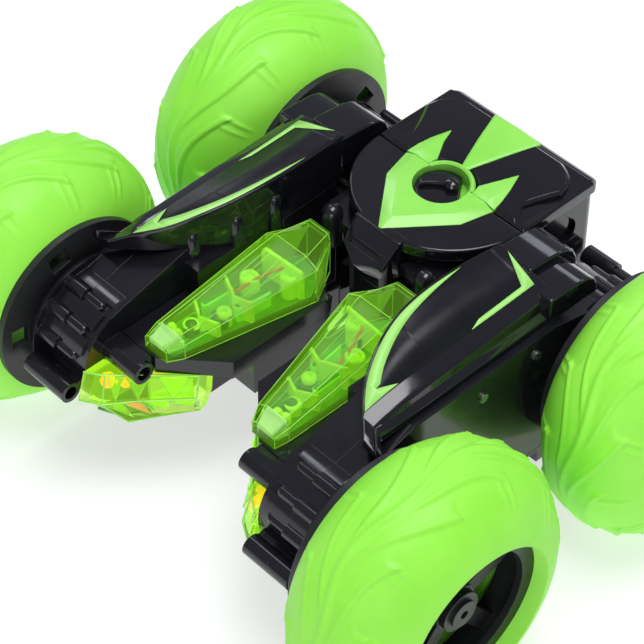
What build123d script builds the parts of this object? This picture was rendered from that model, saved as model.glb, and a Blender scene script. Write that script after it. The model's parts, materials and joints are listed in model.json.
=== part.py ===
"""Remote-control stunt car: a battery pod between two swinging arms, four balloon-tyred wheels.

Millimetres. +X is the car's left, -Y its front, +Z up. The origin lies on the ground under the
middle of the car. Pieces are drawn on the +X side and mirrored to the -X side.
"""
from build123d import *
from math import acos, atan2, cos, degrees, pi, radians, sin, sqrt, tan
import os

# ---- driving dimensions ------------------------------------------------------------------------
WHEEL_RADIUS = 42.5          # tyre outer radius
WHEEL_HALF_WIDTH = 22.4      # tyre half width
WHEEL_X = 80.9               # wheel mid-plane from the centre line
AXLE_Y = 48.0                # axles fore and aft of the middle
MID_Z = WHEEL_RADIUS         # height of the axles and of the mid-plane
AXLE_RADIUS = 1.5
TYRE_CORE_RADIUS = 21.0      # radius of the circle that the round tyre section is centred on
TYRE_WALL = 3.0
BEAD_RADIUS = 25.2           # bore of the tyre
DISC_U = 21.4                # inner face of the rim, from the wheel's mid-plane
DISC_THICKNESS = 2.2
DISC_RADIUS = 28.2
HUB_RADIUS = 7.0
HUB_END_U = 12.0             # outer end of the hub, from the wheel's mid-plane
HUB_SCREW_RADIUS = 1.3
CAP_HEIGHT = 3.2
AXLE_END_U = 8.0             # outer end of the steel axle, from the wheel's mid-plane
SPOKES = 5
WINDOWS = 5                  # openings in the inner disc
WINDOW_SKEW = 14             # degrees from the first spoke to the first window
AXLE_BOSS_RADIUS = 3.2
WALL = 1.8                   # moulded wall thickness
RUN = 0.06                   # radial clearance of running fits
GAP = 0.4                    # clearance between pieces that do not touch

# arm
ARM_INNER_X = 36.0           # inner face of the fenders
ARM_SPLIT_X = 47.2           # joint between inner and outer shell
ARM_OUTER_X = 56.0           # outer face
MID_BLOCK_X = 30.6           # inner face of the arm beside the pod
FENDER_RADIUS = 17.2
BACK_HALF_HEIGHT = 23.5      # arm body above and below the axle height
BACK_HALF_LENGTH = 27.0
GAP_HALF_WIDTH = 5.0         # half of the open gap between the two arms
TRAY_BOTTOM_Z = 45.7
TRAY_TOP_Z = 51.5
SWEEP_RADIUS = 46.0          # the arms stay outside this radius about the swing axis
TONGUE_SWEEP_RADIUS = 47.6   # ... and outside this one in line with the tongue
TONGUE_LANE = 9.2

# pod
POD_HALF_WIDTH = 28.9
POD_ARC_Y = 42.6             # centre of the round front, and the split line of the lid
POD_REAR_Y = 75.0
POD_BOTTOM_Z = 11.7
POD_SEAM_Z = 56.0
COVER_BOTTOM_Z = 69.4
COVER_TOP_Z = 73.3
LID_TOP_Z = 74.4
KNOB_Y = 39.0
KNOB_RADIUS = 7.2
KNOB_TOP_Z = 72.4
POCKET_FLOOR_Z = 68.6
POCKET_RADIUS = 8.3
PIVOT_RADIUS = 7.0

# gear train
AXLE_GEAR_TEETH = 34
IDLER_TEETH = 37
COMPOUND_PINION_TEETH = 12
COMPOUND_TEETH = 44
MOTOR_PINION_TEETH = 12
TRAIN_MODULE = 0.8
MOTOR_MODULE = 0.6
PRESSURE_ANGLE = radians(25)
GEAR_BACKLASH = 0.16
IDLER_Y = (COMPOUND_PINION_TEETH + IDLER_TEETH) * TRAIN_MODULE / 2
MOTOR_Y = -(COMPOUND_TEETH + MOTOR_PINION_TEETH) * MOTOR_MODULE / 2
MOTOR_GEARS_X = (39.0, 42.4)
TRAIN_GEARS_X = (43.6, 47.4)
PIN_RADIUS = 1.2


# ---- small helpers -----------------------------------------------------------------------------
def face_of(points):
    """A flat face inside a closed outline."""
    return make_face(Polyline(*points, close=True))


def plate(points, z0, z1):
    """Outline in the ground plane, given thickness from z0 to z1."""
    return extrude(Pos(0, 0, z0) * face_of(points), z1 - z0)


def slab(points, x0, x1):
    """Outline in (y, z), given thickness from x0 to x1."""
    return extrude(Plane.YZ.offset(x0) * face_of(points), x1 - x0)


def rod(radius, x0, x1, y=AXLE_Y, z=MID_Z):
    """A cylinder along X."""
    return extrude(Plane.YZ.offset(x0) * Pos(y, z) * Circle(radius), x1 - x0)


def tube(radius, bore, x0, x1, y=AXLE_Y, z=MID_Z):
    """A hollow cylinder along X."""
    ring = Circle(radius) - Circle(bore)
    return extrude(Plane.YZ.offset(x0) * Pos(y, z) * ring, x1 - x0)


def post(radius, x, y, z0, z1):
    """A cylinder along Z."""
    return Pos(x, y, z0) * extrude(Circle(radius), z1 - z0)


def block(x0, x1, y0, y1, z0, z1):
    """An axis-parallel box between two corners."""
    size = (x1 - x0, y1 - y0, z1 - z0)
    return Pos((x0 + x1) / 2, (y0 + y1) / 2, (z0 + z1) / 2) * Box(*size)


def loft_sections(sections):
    """A ruled solid through outlines of (x, z) points, each at its own y."""
    faces = []
    for y, points in sections:
        faces.append(face_of([(x, y, z) for x, z in points]))
    return loft(faces, ruled=True)


def mirrored(shape):
    """The same piece on the other side of the car."""
    return mirror(shape, about=Plane.YZ)


def upside_down(shape):
    """The same piece on the underside of the car."""
    return mirror(shape, about=Plane.XY.offset(MID_Z))


# ---- gears -------------------------------------------------------------------------------------
def gear(teeth, module, x0, x1, y, tooth_angle, bore):
    """A spur gear along X with involute flanks; one tooth points along tooth_angle (radians)."""
    pitch_radius = teeth * module / 2
    base_radius = pitch_radius * cos(PRESSURE_ANGLE)
    tip_radius = pitch_radius + 0.9 * module
    root_radius = pitch_radius - 1.15 * module
    half_tooth = pi / (2 * teeth) - GEAR_BACKLASH / (2 * pitch_radius)
    involute_at_pitch = tan(PRESSURE_ANGLE) - PRESSURE_ANGLE
    start_radius = max(base_radius, root_radius)
    steps = 4
    flank = []
    for step in range(steps + 1):
        radius = start_radius + (tip_radius - start_radius) * step / steps
        roll = acos(base_radius / radius)
        half_width = half_tooth + involute_at_pitch - (tan(roll) - roll)
        flank.append((radius, half_width))
    outline = []
    for tooth in range(teeth):
        middle = tooth_angle + 2 * pi * tooth / teeth
        side = [(root_radius, flank[0][1])] + flank if start_radius > root_radius else flank
        polar = [(r, middle - w) for r, w in side] + [(r, middle + w) for r, w in reversed(side)]
        outline += [(y + r * cos(a), MID_Z + r * sin(a)) for r, a in polar]
    return slab(outline, x0, x1) - rod(bore, x0 - 1, x1 + 1, y)


# ---- wheels ------------------------------------------------------------------------------------
def strip(u0, u1, r0, r1):
    """A rectangle between two corners in the section plane of a wheel."""
    return Pos((u0 + u1) / 2, (r0 + r1) / 2) * Rectangle(u1 - u0, r1 - r0)


def tyre(y):
    """Hollow balloon tyre: round outer wall closed by a bead wall, stepped for the inner disc."""
    half_height = WHEEL_RADIUS - TYRE_CORE_RADIUS
    outer = Pos(0, TYRE_CORE_RADIUS) * Ellipse(WHEEL_HALF_WIDTH, half_height)
    inner = Pos(0, TYRE_CORE_RADIUS) * Ellipse(WHEEL_HALF_WIDTH - TYRE_WALL, half_height - TYRE_WALL)
    outside = outer & strip(-30, 30, BEAD_RADIUS, 60)
    cavity = inner & strip(-30, 30, BEAD_RADIUS + 2.0, 60)
    step = strip(-30, -DISC_U + DISC_THICKNESS, 0, DISC_RADIUS + 0.1)
    ring = revolve(outside - cavity - step, Axis.X, 360)
    return Pos(WHEEL_X, y, MID_Z) * ring


def rim(y):
    """Black rim: windowed inner disc, hub barrel and a spoked outer ring."""
    inner_face = WHEEL_X - DISC_U
    inner_disc = rod(DISC_RADIUS, inner_face, inner_face + DISC_THICKNESS, y)
    for index in range(WINDOWS):
        window = block(inner_face - 1, inner_face + 4, y - 3.4, y + 3.4, MID_Z + 18.6, MID_Z + 24.6)
        inner_disc -= window.rotate(Axis((0, y, MID_Z), (1, 0, 0)), 360 / WINDOWS * index + WINDOW_SKEW)
    hub = rod(HUB_RADIUS, inner_face, WHEEL_X + HUB_END_U, y)
    drum = tube(BEAD_RADIUS - 0.1, 23.4, WHEEL_X + 6.0, WHEEL_X + 15.6, y)
    outer_ring = tube(BEAD_RADIUS - 0.1, 20.6, WHEEL_X + 14.0, WHEEL_X + 16.2, y)
    wheel = inner_disc + hub + drum + outer_ring
    for index in range(SPOKES):
        spoke = block(WHEEL_X + 8.0, WHEEL_X + 11.0, y - 2.6, y + 2.6, MID_Z + 5.5, MID_Z + 24.0)
        wheel += spoke.rotate(Axis((0, y, MID_Z), (1, 0, 0)), 360 / SPOKES * index)
    wheel -= rod(AXLE_RADIUS, inner_face - 1, WHEEL_X + AXLE_END_U, y)
    return wheel - hub_screw_hole(y)


def hub_screw_hole(y):
    """Hole for the wheel screw, through the cap and into the end of the hub."""
    return rod(HUB_SCREW_RADIUS, WHEEL_X + AXLE_END_U + 1.0, WHEEL_X + HUB_END_U + CAP_HEIGHT, y)


def hub_cap(y):
    """Stepped cap over the end of the hub, with the screw hole through it."""
    start = WHEEL_X + HUB_END_U
    cap = rod(HUB_RADIUS - 0.8, start, start + 2.0, y)
    cap += rod(HUB_RADIUS - 2.8, start + 2.0, start + CAP_HEIGHT, y)
    return cap - hub_screw_hole(y)


def axle(y):
    """Steel axle with its drive gear."""
    shaft = rod(AXLE_RADIUS, ARM_INNER_X + 0.4, WHEEL_X + AXLE_END_U, y)
    gap_angle = pi if y > 0 else 0.0
    half_pitch = pi / AXLE_GEAR_TEETH
    toothed = gear(AXLE_GEAR_TEETH, TRAIN_MODULE, *TRAIN_GEARS_X, y, gap_angle + half_pitch, 1.0)
    return shaft + toothed


# ---- arm shells --------------------------------------------------------------------------------
def arm_outline(shrink=0.0):
    """Side view of the arm in (y, z): two round fenders joined by a deeper back."""
    radius = FENDER_RADIUS - shrink
    height = BACK_HALF_HEIGHT - shrink
    length = BACK_HALF_LENGTH - shrink
    reach = sqrt((AXLE_Y - length) ** 2 + height ** 2)
    touch = atan2(height, AXLE_Y - length) + acos(radius / reach)
    tangent_y = AXLE_Y - radius * cos(touch)
    tangent_z = radius * sin(touch)
    top = [(-tangent_y, tangent_z), (-length, height), (length, height), (tangent_y, tangent_z)]
    bottom = [(y, -z) for y, z in reversed(top)]
    middle = face_of(top + bottom)
    outline = middle + Pos(-AXLE_Y, 0) * Circle(radius) + Pos(AXLE_Y, 0) * Circle(radius)
    return Pos(0, MID_Z) * outline


def arm_body(x0, x1, shrink=0.0):
    """The arm outline given thickness from x0 to x1."""
    return extrude(Plane.YZ.offset(x0) * arm_outline(shrink), x1 - x0)


RIB_ANGLES = (18.7, 46.0, 73.4, 134.0, 161.3)
RIB_CENTRE_RADIUS = FENDER_RADIUS + 0.2
PAD_ARCS = ((-4.0, 14.0), (23.5, 41.5), (50.5, 68.5), (138.8, 156.5))
INNER_RIB_X = 39.6
INNER_RIB_RADIUS = 1.6
OUTER_RIB_RADIUS = 2.4


def fender_ribs(x0, x1, radius, end, round_tip=False):
    """Round ribs across a fender, at angles from the vertical towards the end of the arm."""
    ribs = []
    for angle in RIB_ANGLES:
        y = end * (AXLE_Y + RIB_CENTRE_RADIUS * sin(radians(angle)))
        z = MID_Z + RIB_CENTRE_RADIUS * cos(radians(angle))
        ribs.append(rod(radius, x0, x1, y, z))
        if round_tip:
            ribs.append(Pos(x0, y, z) * Sphere(radius))
    return ribs


def fender_pads(x0, x1, end):
    """Raised pads between the ribs."""
    pads = []
    reach = 2 * FENDER_RADIUS
    for low, high in PAD_ARCS:
        ring = tube(FENDER_RADIUS + 0.8, FENDER_RADIUS - 1.5, x0, x1, 0, 0)
        corners = [(reach * sin(radians(angle)), reach * cos(radians(angle))) for angle in (high, low)]
        pad = ring & slab([(0, 0)] + corners, x0, x1)
        if end < 0:
            pad = mirror(pad, about=Plane.XZ)
        pads.append(Pos(0, end * AXLE_Y, MID_Z) * pad)
    return pads


TUBES = (
    # outer radius, bore, inner end x, outer end x, y, z
    (3.5, 2.3, 21.5, ARM_INNER_X + 1.0, -55.5, 47.9),
    (3.3, 2.1, 37.8, ARM_SPLIT_X, -69.4, 37.7),
    (3.0, 1.9, 30.2, 41.3, 70.4, 47.4),
    (2.1, 1.2, 41.3, ARM_SPLIT_X, 70.4, 47.4),
    (2.1, 1.2, 33.0, ARM_SPLIT_X, 72.0, 41.0),
)
MOTOR_HALF = (10.0, 7.6)     # half width along y, half height
MOTOR_X = (10.8, 35.8)


def tube_web(y, z, x0, x1):
    """Web that joins a screw boss to its fender."""
    end = AXLE_Y if y > 0 else -AXLE_Y
    lean = degrees(atan2(z - MID_Z, y - end))
    reach = sqrt((y - end) ** 2 + (z - MID_Z) ** 2)
    web = block(x0, x1, FENDER_RADIUS - 1.7, reach, -1.4, 1.4)
    return Pos(0, end, MID_Z) * web.rotate(Axis.X, lean)


def inner_shell():
    """Inner half of an arm: fenders, motor box, screw bosses and the pivot stub."""
    shell = arm_body(ARM_INNER_X, ARM_SPLIT_X)
    mid = block(MID_BLOCK_X, ARM_INNER_X + 1, -BACK_HALF_LENGTH, BACK_HALF_LENGTH, MID_Z - 19.5, MID_Z + 19.5)
    motor_box = block(GAP_HALF_WIDTH, ARM_INNER_X + 1, -29.2, 0.0, 33.5, TRAY_BOTTOM_Z)
    lamp_block = block(13.8, ARM_INNER_X + 1, -38.0, -29.0, 33.5, TRAY_BOTTOM_Z)
    tube_block = block(22.5, ARM_INNER_X + 1, -56.5, -51.6, 46.2, TRAY_TOP_Z - 0.1)
    shell = shell + mid + motor_box + lamp_block + tube_block
    for end in (-1, 1):
        shell += fender_ribs(INNER_RIB_X + INNER_RIB_RADIUS, ARM_SPLIT_X, INNER_RIB_RADIUS, end, True)
        shell += fender_pads(ARM_INNER_X + 2.0, ARM_SPLIT_X, end)
    for radius, _, x0, x1, y, z in TUBES:
        shell += rod(radius, x0, x1, y, z)
        if x1 == ARM_SPLIT_X:
            shell += tube_web(y, z, max(x0, ARM_INNER_X), x1)
    shell += rod(PIVOT_RADIUS, POD_HALF_WIDTH - 5.5, ARM_INNER_X + 1)
    shell += rod(PIVOT_RADIUS + 2.5, POD_HALF_WIDTH + 0.5, ARM_INNER_X + 1)
    # hollows
    shell -= arm_body(ARM_INNER_X + WALL, ARM_SPLIT_X + 1, WALL)
    shell -= block(MID_BLOCK_X + WALL, ARM_INNER_X + WALL + 1, -25.2, 25.2, MID_Z - 17.7, MID_Z + 17.7)
    half_y = MOTOR_HALF[0] + 0.3
    half_z = MOTOR_HALF[1] + 0.3
    shell -= block(9.0, ARM_INNER_X, MOTOR_Y - half_y, MOTOR_Y + half_y, MID_Z - half_z, MID_Z + half_z)
    shell += tube(2.6, PIN_RADIUS, MID_BLOCK_X + 1, ARM_INNER_X + 2.4, 0)
    for y in (-AXLE_Y, AXLE_Y):
        shell += tube(AXLE_BOSS_RADIUS, AXLE_RADIUS, ARM_INNER_X, ARM_INNER_X + 3.4, y)
        shell -= rod(AXLE_RADIUS + RUN, ARM_INNER_X - 6, ARM_SPLIT_X, y)
    shell -= rod(PIVOT_RADIUS - 2.2, POD_HALF_WIDTH - 7, ARM_INNER_X - 0.2)
    for _, bore, x0, x1, y, z in TUBES:
        shell -= rod(bore, x0 - 1, x1 - 2.0, y, z)
    return shell


def outer_shell():
    """Outer half of an arm, with the heavy ribs and a rim round each fender."""
    shell = arm_body(ARM_SPLIT_X, ARM_OUTER_X)
    rib_end = ARM_OUTER_X - 1.0
    for end in (-1, 1):
        shell += fender_ribs(ARM_SPLIT_X, rib_end, OUTER_RIB_RADIUS, end)
        shell += fender_pads(ARM_SPLIT_X, rib_end, end)
    for y in (-AXLE_Y, AXLE_Y):
        shell += rod(FENDER_RADIUS + 3.4, ARM_OUTER_X - 1.2, ARM_OUTER_X, y)
    for radius, _, _, x1, y, z in TUBES:
        if x1 == ARM_SPLIT_X:
            shell += rod(radius, ARM_SPLIT_X, rib_end, y, z) + tube_web(y, z, ARM_SPLIT_X, rib_end)
    shell -= arm_body(ARM_SPLIT_X - 1, ARM_OUTER_X - WALL, WALL)
    for y in (-AXLE_Y, AXLE_Y):
        shell += tube(AXLE_BOSS_RADIUS, AXLE_RADIUS, TRAIN_GEARS_X[1] + 1.2, ARM_OUTER_X, y)
        shell -= rod(AXLE_RADIUS + RUN, ARM_SPLIT_X, ARM_OUTER_X + 1, y)
    return shell


# ---- covers on the arms ------------------------------------------------------------------------
COVER_BASE_Z = 66.2
WALL_BASE_Z = 62.2
# pegs on the inner wall of the cover: x, y, foot and top heights
COVER_PEGS = (
    (37.0, -22.8, COVER_BASE_Z, 70.4),
    (32.9, -10.4, WALL_BASE_Z, 71.8),
    (31.6, 2.6, WALL_BASE_Z, 72.8),
)
COVER_SECTIONS = (
    # y, inner x, inner top z, outer top z
    (-41.8, 51.3, 69.4, 69.2),
    (-37.2, 46.4, 71.8, 71.7),
    (-28.0, 38.5, 74.9, 73.2),
    (-17.0, 33.4, 77.7, 73.9),
    (-4.0, 30.6, 79.2, 74.2),
    (12.0, 29.8, 79.4, 74.8),
    (31.0, 31.2, 78.6, 75.6),
)


def cover_section(y, inner_x, inner_z, outer_z, shrink, base):
    """Cross-section of a cover: tilted top, chamfer and steep outer side."""
    ridge_x = max(47.2, inner_x + 0.8)
    wall_x = inner_x + shrink
    foot_x = ridge_x + 5.8 - shrink
    return y, [(wall_x, base), (wall_x, inner_z - shrink), (ridge_x - shrink / 2, outer_z - shrink),
               (ridge_x + 3.9 - shrink, outer_z - 2.1 - shrink / 2), (foot_x, 67.6), (foot_x, base)]


def arm_cover():
    """Glossy cover over the back of an arm, with stepped blocks behind and pegs inside."""
    solid = loft_sections([cover_section(*row, 0.0, WALL_BASE_Z) for row in COVER_SECTIONS])
    solid -= block(ARM_INNER_X - 0.2, 70, -60, 60, WALL_BASE_Z - 1, COVER_BASE_Z)
    solid -= block(20, 70, -60, -BACK_HALF_LENGTH + 0.6, WALL_BASE_Z - 1, COVER_BASE_Z)
    inner_block = slab([(29.0, COVER_BASE_Z), (29.0, 77.2), (41.5, 76.0), (46.0, 74.6), (48.6, 71.0),
                        (49.2, COVER_BASE_Z)], 30.8, 43.6)
    outer_block = slab([(26.0, COVER_BASE_Z), (26.0, 74.8), (38.5, 74.4), (43.0, 73.4), (45.6, 70.0),
                        (46.2, COVER_BASE_Z)], 43.6, 54.6)
    skirt = block(ARM_OUTER_X - 3.6, ARM_OUTER_X, -39.0, 31.0, COVER_BASE_Z, COVER_BASE_Z + 1.2)
    body = solid + inner_block + outer_block + skirt
    for x, y, base, top in COVER_PEGS:
        body += Pos(x, y, base) * loft([Circle(2.2), Pos(0, 0, top - base) * Circle(1.5)])
    hollow_rows = [row for row in COVER_SECTIONS if -30.0 < row[0] < 20.0]
    hollow = loft_sections([cover_section(*row, WALL, WALL_BASE_Z - 1) for row in hollow_rows])
    return body - hollow


# ---- platform, lenses and lamps ----------------------------------------------------------------
def clear_of_pod(shape):
    """Cut away what the pod would strike as the arm swings."""
    shape = shape - rod(SWEEP_RADIUS, 0, 60)
    return shape - rod(TONGUE_SWEEP_RADIUS, 0, TONGUE_LANE)


def lens_tray():
    """Flat tray over the motor box that carries the signal lens."""
    outline = [(GAP_HALF_WIDTH, -36.8), (21.4, -51.4), (ARM_INNER_X - 0.2, -51.4), (ARM_INNER_X - 0.2, -27.2),
               (MID_BLOCK_X - 0.2, -27.2), (MID_BLOCK_X - 0.2, 3.0), (GAP_HALF_WIDTH, 3.0)]
    tray = plate(outline, TRAY_BOTTOM_Z, TRAY_TOP_Z)
    half_y = MOTOR_HALF[0] + 0.3
    tray -= block(9.0, MID_BLOCK_X - 0.2, MOTOR_Y - half_y, MOTOR_Y + half_y, TRAY_BOTTOM_Z, MID_Z + 7.9)
    tray -= block(22.0, ARM_INNER_X, -57.0, -51.5, TRAY_BOTTOM_Z - 1, TRAY_TOP_Z + 1)
    tray -= rod(3.8, 20.0, ARM_INNER_X, -55.5, 47.9)
    return clear_of_pod(tray)


LENS_BASE_Z = TRAY_TOP_Z
LENS_WALL = 1.3
LENS_WALL_STEPS = (1.3, 1.0, 0.0, -1.3)   # how far each hollow section is moved along y
LENS_SECTIONS = (
    # y, inner x, inner top x, outer top x, outer x, shoulder z, top z
    (-50.4, 17.6, 19.2, 25.4, 26.6, 55.6, 56.6),
    (-45.6, 15.2, 17.8, 25.2, 27.3, 57.0, 58.6),
    (-3.4, 6.4, 10.8, 23.6, 27.4, 64.0, 66.3),
    (8.6, 12.8, 13.8, 21.6, 22.4, 63.6, 66.0),
)


def lens_section(row, shrink, base):
    """Cross-section of the signal lens."""
    y, inner, inner_top, outer_top, outer, shoulder, top = row
    return y, [(inner + shrink, base), (inner + shrink, shoulder - shrink / 2),
               (inner_top + shrink / 2, top - shrink), (outer_top - shrink / 2, top - shrink),
               (outer - shrink, shoulder - shrink / 2), (outer - shrink, base)]


def signal_lens():
    """Hollow faceted lens, open underneath."""
    solid = loft_sections([lens_section(row, 0.0, LENS_BASE_Z) for row in LENS_SECTIONS])
    rows = [(row[0] + step,) + row[1:] for row, step in zip(LENS_SECTIONS, LENS_WALL_STEPS)]
    hollow = loft_sections([lens_section(row, LENS_WALL, LENS_BASE_Z - 1) for row in rows])
    return clear_of_pod(solid - hollow)


def light_board():
    """Light board under the signal lens, with two LEDs and two screw bosses."""
    outline = [(18.6, -46.5), (25.2, -46.5), (25.6, -4.0), (22.0, -1.5), (12.0, -1.5), (8.6, -5.0)]
    board = plate(outline, LENS_BASE_Z, LENS_BASE_Z + 1.2)
    for x, y in ((20.5, -38.5), (21.5, -15.0)):
        board += post(2.4, x, y, LENS_BASE_Z + 1.0, LENS_BASE_Z + 3.4)
        board += Pos(x, y, LENS_BASE_Z + 3.4) * (Sphere(2.4) & Pos(0, 0, 5) * Box(10, 10, 10))
    for x, y in ((17.8, -30.0), (13.6, -7.6)):
        board += post(2.6, x, y, LENS_BASE_Z + 1.0, LENS_BASE_Z + 4.6)
    return board


HEADLAMP_WALL = 1.5
HEADLAMP_LAYERS = (
    # z, then the outline from the arm round the front to the lamp block
    (26.5, ((35.6, -60.0), (26.5, -58.5), (21.5, -49.5), (16.0, -40.5), (16.0, -38.3), (35.6, -38.3))),
    (36.0, ((35.6, -68.6), (29.5, -65.0), (23.6, -56.6), (13.0, -44.2), (13.0, -38.3), (35.6, -38.3))),
    (45.5, ((35.6, -66.0), (30.5, -62.5), (25.0, -56.5), (12.0, -43.4), (12.0, -38.3), (35.6, -38.3))),
)


def headlamp_body():
    """Faceted block shape of the headlamp."""
    faces = []
    for z, points in HEADLAMP_LAYERS:
        faces.append(Pos(0, 0, z) * face_of(points))
    return loft(faces, ruled=True)


def headlamp_hollow():
    """The same block shape, smaller by the wall all round."""
    faces = []
    for (z, points), rise in zip(HEADLAMP_LAYERS, (HEADLAMP_WALL, 0.0, -HEADLAMP_WALL)):
        outline = offset(face_of(points), -HEADLAMP_WALL, kind=Kind.INTERSECTION)
        faces.append(Pos(0, 0, z + rise) * outline)
    return loft(faces, ruled=True)


def headlamp_lens():
    """Hollow prismatic headlamp lens in front of the motor box."""
    shell = headlamp_body() - headlamp_hollow()
    shell -= rod(3.5 + GAP, 20.0, ARM_INNER_X, -55.5, 47.9)
    return shell - block(22.0, ARM_INNER_X, -57.5, -51.0, 45.0, 47.0)


def headlamp_led():
    """LED inside the headlamp, with its leads in a small holder."""
    holder = block(24.0, 31.0, -42.6, -40.0, 33.0, 40.0)
    lamp = Plane.XZ.offset(42.6) * extrude(Circle(2.5), 4.0)
    dome = Pos(0, -46.6, 0) * Sphere(2.5)
    return holder + Pos(27.5, 0, 36.5) * (lamp + dome)


# ---- drive -------------------------------------------------------------------------------------
def motor():
    """Small brushed motor: flattened can with an end cap and a bearing boss."""
    half_y, half_z = MOTOR_HALF
    profile = Circle(half_y) & Rectangle(2 * half_y, 2 * half_z)
    cap_profile = Circle(half_y - 1) & Rectangle(17, 13)
    start, end = MOTOR_X
    can = extrude(Plane.YZ.offset(start + 2.0) * Pos(MOTOR_Y, MID_Z) * profile, end - start - 2.0)
    cap = extrude(Plane.YZ.offset(start) * Pos(MOTOR_Y, MID_Z) * cap_profile, 2.0)
    boss = rod(3.0, end, end + 1.5, MOTOR_Y)
    return can + cap + boss - rod(1.0 + RUN, start + 4, end + 2, MOTOR_Y)


def motor_pinion():
    """Pinion with the motor shaft that it is pressed on."""
    shaft = rod(1.0, MOTOR_X[0] + 5.0, MOTOR_GEARS_X[1], MOTOR_Y)
    return shaft + gear(MOTOR_PINION_TEETH, MOTOR_MODULE, *MOTOR_GEARS_X, MOTOR_Y, 0.0, 0.8)


def compound_gear():
    """Large gear driven by the motor pinion, with the small one that drives both idlers."""
    half_pitch = pi / COMPOUND_TEETH
    large = gear(COMPOUND_TEETH, MOTOR_MODULE, *MOTOR_GEARS_X, 0, pi + half_pitch, PIN_RADIUS + RUN)
    hub = tube(3.0, PIN_RADIUS + RUN, MOTOR_GEARS_X[1], TRAIN_GEARS_X[0], 0)
    small = gear(COMPOUND_PINION_TEETH, TRAIN_MODULE, *TRAIN_GEARS_X, 0, 0.0, PIN_RADIUS + RUN)
    return large + hub + small


def idler_gear(end):
    """Idler between the compound gear and an axle gear."""
    outward = 0.0 if end > 0 else pi
    return gear(IDLER_TEETH, TRAIN_MODULE, *TRAIN_GEARS_X, end * IDLER_Y, outward, PIN_RADIUS + RUN)


def gear_pins():
    """Three steel pins that carry the compound gear and the idlers."""
    pins = [rod(PIN_RADIUS, MID_BLOCK_X + 2.4, ARM_OUTER_X - WALL, 0)]
    for end in (-1, 1):
        pins.append(rod(PIN_RADIUS, TRAIN_GEARS_X[0] - 0.6, ARM_OUTER_X - WALL, end * IDLER_Y))
    return Compound(children=pins)


SHELL_SCREWS = ((-0.8, 58.5), (-0.8, 26.5), (20.2, 60.0), (-20.2, 25.0))


def shell_screws():
    """Self-tapping screws in the outer shell."""
    screws = []
    for y, z in SHELL_SCREWS:
        screws.append(rod(1.5, ARM_OUTER_X, ARM_OUTER_X + 0.7, y, z))
    return Compound(children=screws)


# ---- pod ---------------------------------------------------------------------------------------
def pod_outline(half_width, front_radius, rear_y, corner):
    """Plan of the pod: round front about the lid split line, straight sides, rounded rear corners."""
    front_y = POD_ARC_Y - 0.5
    box = face_of([(-half_width, front_y), (half_width, front_y), (half_width, rear_y), (-half_width, rear_y)])
    rear_corners = box.vertices().sort_by(Axis.Y)[-2:]
    box = fillet(rear_corners, corner)
    front = Pos(0, POD_ARC_Y) * Circle(front_radius) & Pos(0, POD_ARC_Y - 50) * Rectangle(200, 100)
    return box + front


def pod_solid(half_width, front_radius, rear_y, z0, z1, corner=4.0):
    """The pod plan given height."""
    return Pos(0, 0, z0) * extrude(pod_outline(half_width, front_radius, rear_y, corner), z1 - z0)


def column(z0, z1):
    """Nose column in front of the pod, under the tongue."""
    return plate([(-7.6, 20.0), (-7.6, 10.4), (-5.0, 9.6), (5.0, 9.6), (7.6, 10.4), (7.6, 20.0)], z0, z1)


def lower_shell():
    """Lower part of the pod, open at the top, with the pivot holes and the switch slot."""
    outer = pod_solid(POD_HALF_WIDTH - 0.4, 26.4, POD_REAR_Y - 0.8, POD_BOTTOM_Z + 3.9, POD_SEAM_Z)
    base = pod_solid(POD_HALF_WIDTH, POD_HALF_WIDTH, POD_REAR_Y, POD_BOTTOM_Z, POD_BOTTOM_Z + 3.9)
    shell = outer + base + column(POD_BOTTOM_Z + 3.9, POD_SEAM_Z)
    cavity = pod_solid(POD_HALF_WIDTH - 2.2, 24.6, POD_REAR_Y - 2.6, POD_BOTTOM_Z + 2.2, POD_SEAM_Z + 1, 2.5)
    shell -= cavity
    shell -= rod(PIVOT_RADIUS + RUN, -40, 40)
    shell -= block(-4.4, 4.4, 58.0, 62.0, POD_BOTTOM_Z - 1, POD_BOTTOM_Z + 3)
    return shell


DOME_X = 18.8
DOME_Y = 14.1
DOME_RADIUS = 3.2
DOME_CENTRE_Z = 66.5


def dome_post(x):
    """Round-topped post on the shoulder of the pod."""
    dome = Pos(x, DOME_Y, DOME_CENTRE_Z) * Sphere(DOME_RADIUS)
    return post(DOME_RADIUS, x, DOME_Y, POD_SEAM_Z, DOME_CENTRE_Z) + dome


def upper_shell():
    """Upper part of the pod: battery tray, round shoulders and the two dome-topped posts."""
    outer = pod_solid(POD_HALF_WIDTH - 0.4, 26.4, POD_REAR_Y - 0.8, POD_SEAM_Z, COVER_BOTTOM_Z)
    shell = outer + column(POD_SEAM_Z, COVER_BOTTOM_Z)
    ears = block(-24, 24, 18, 42, 62.0, 65.4) + block(-21.5, 21.5, 14, 18, 62.0, 65.4)
    shell += ears - block(-9, 9, 10, 16.6, 60.0, 67.0)
    for x in (-DOME_X, DOME_X):
        shell += dome_post(x)
    battery_bay = block(-25.4, 25.4, POD_ARC_Y + 2, POD_REAR_Y - 3.4, POD_SEAM_Z + 1.6, COVER_BOTTOM_Z + 1)
    bay_plan = Pos(0, POD_ARC_Y) * Circle(21) & Pos(0, 25) * Rectangle(60, 31)
    front_bay = Pos(0, 0, POD_SEAM_Z - 1) * extrude(bay_plan, 12)
    pocket = post(POCKET_RADIUS + 1.0, 0, KNOB_Y, 66.0, COVER_BOTTOM_Z + 1)
    ovals = SlotOverall(17.0, 10.5).rotate(Axis.Z, -42)
    oval_cut = extrude(Plane.YZ.offset(-40) * Pos(58.2, 62.6) * ovals, 80)
    side_pockets = oval_cut - block(-POD_HALF_WIDTH + 1.7, POD_HALF_WIDTH - 1.7, 0, 90, 0, 90)
    return shell - battery_bay - front_bay - pocket - side_pockets


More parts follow.
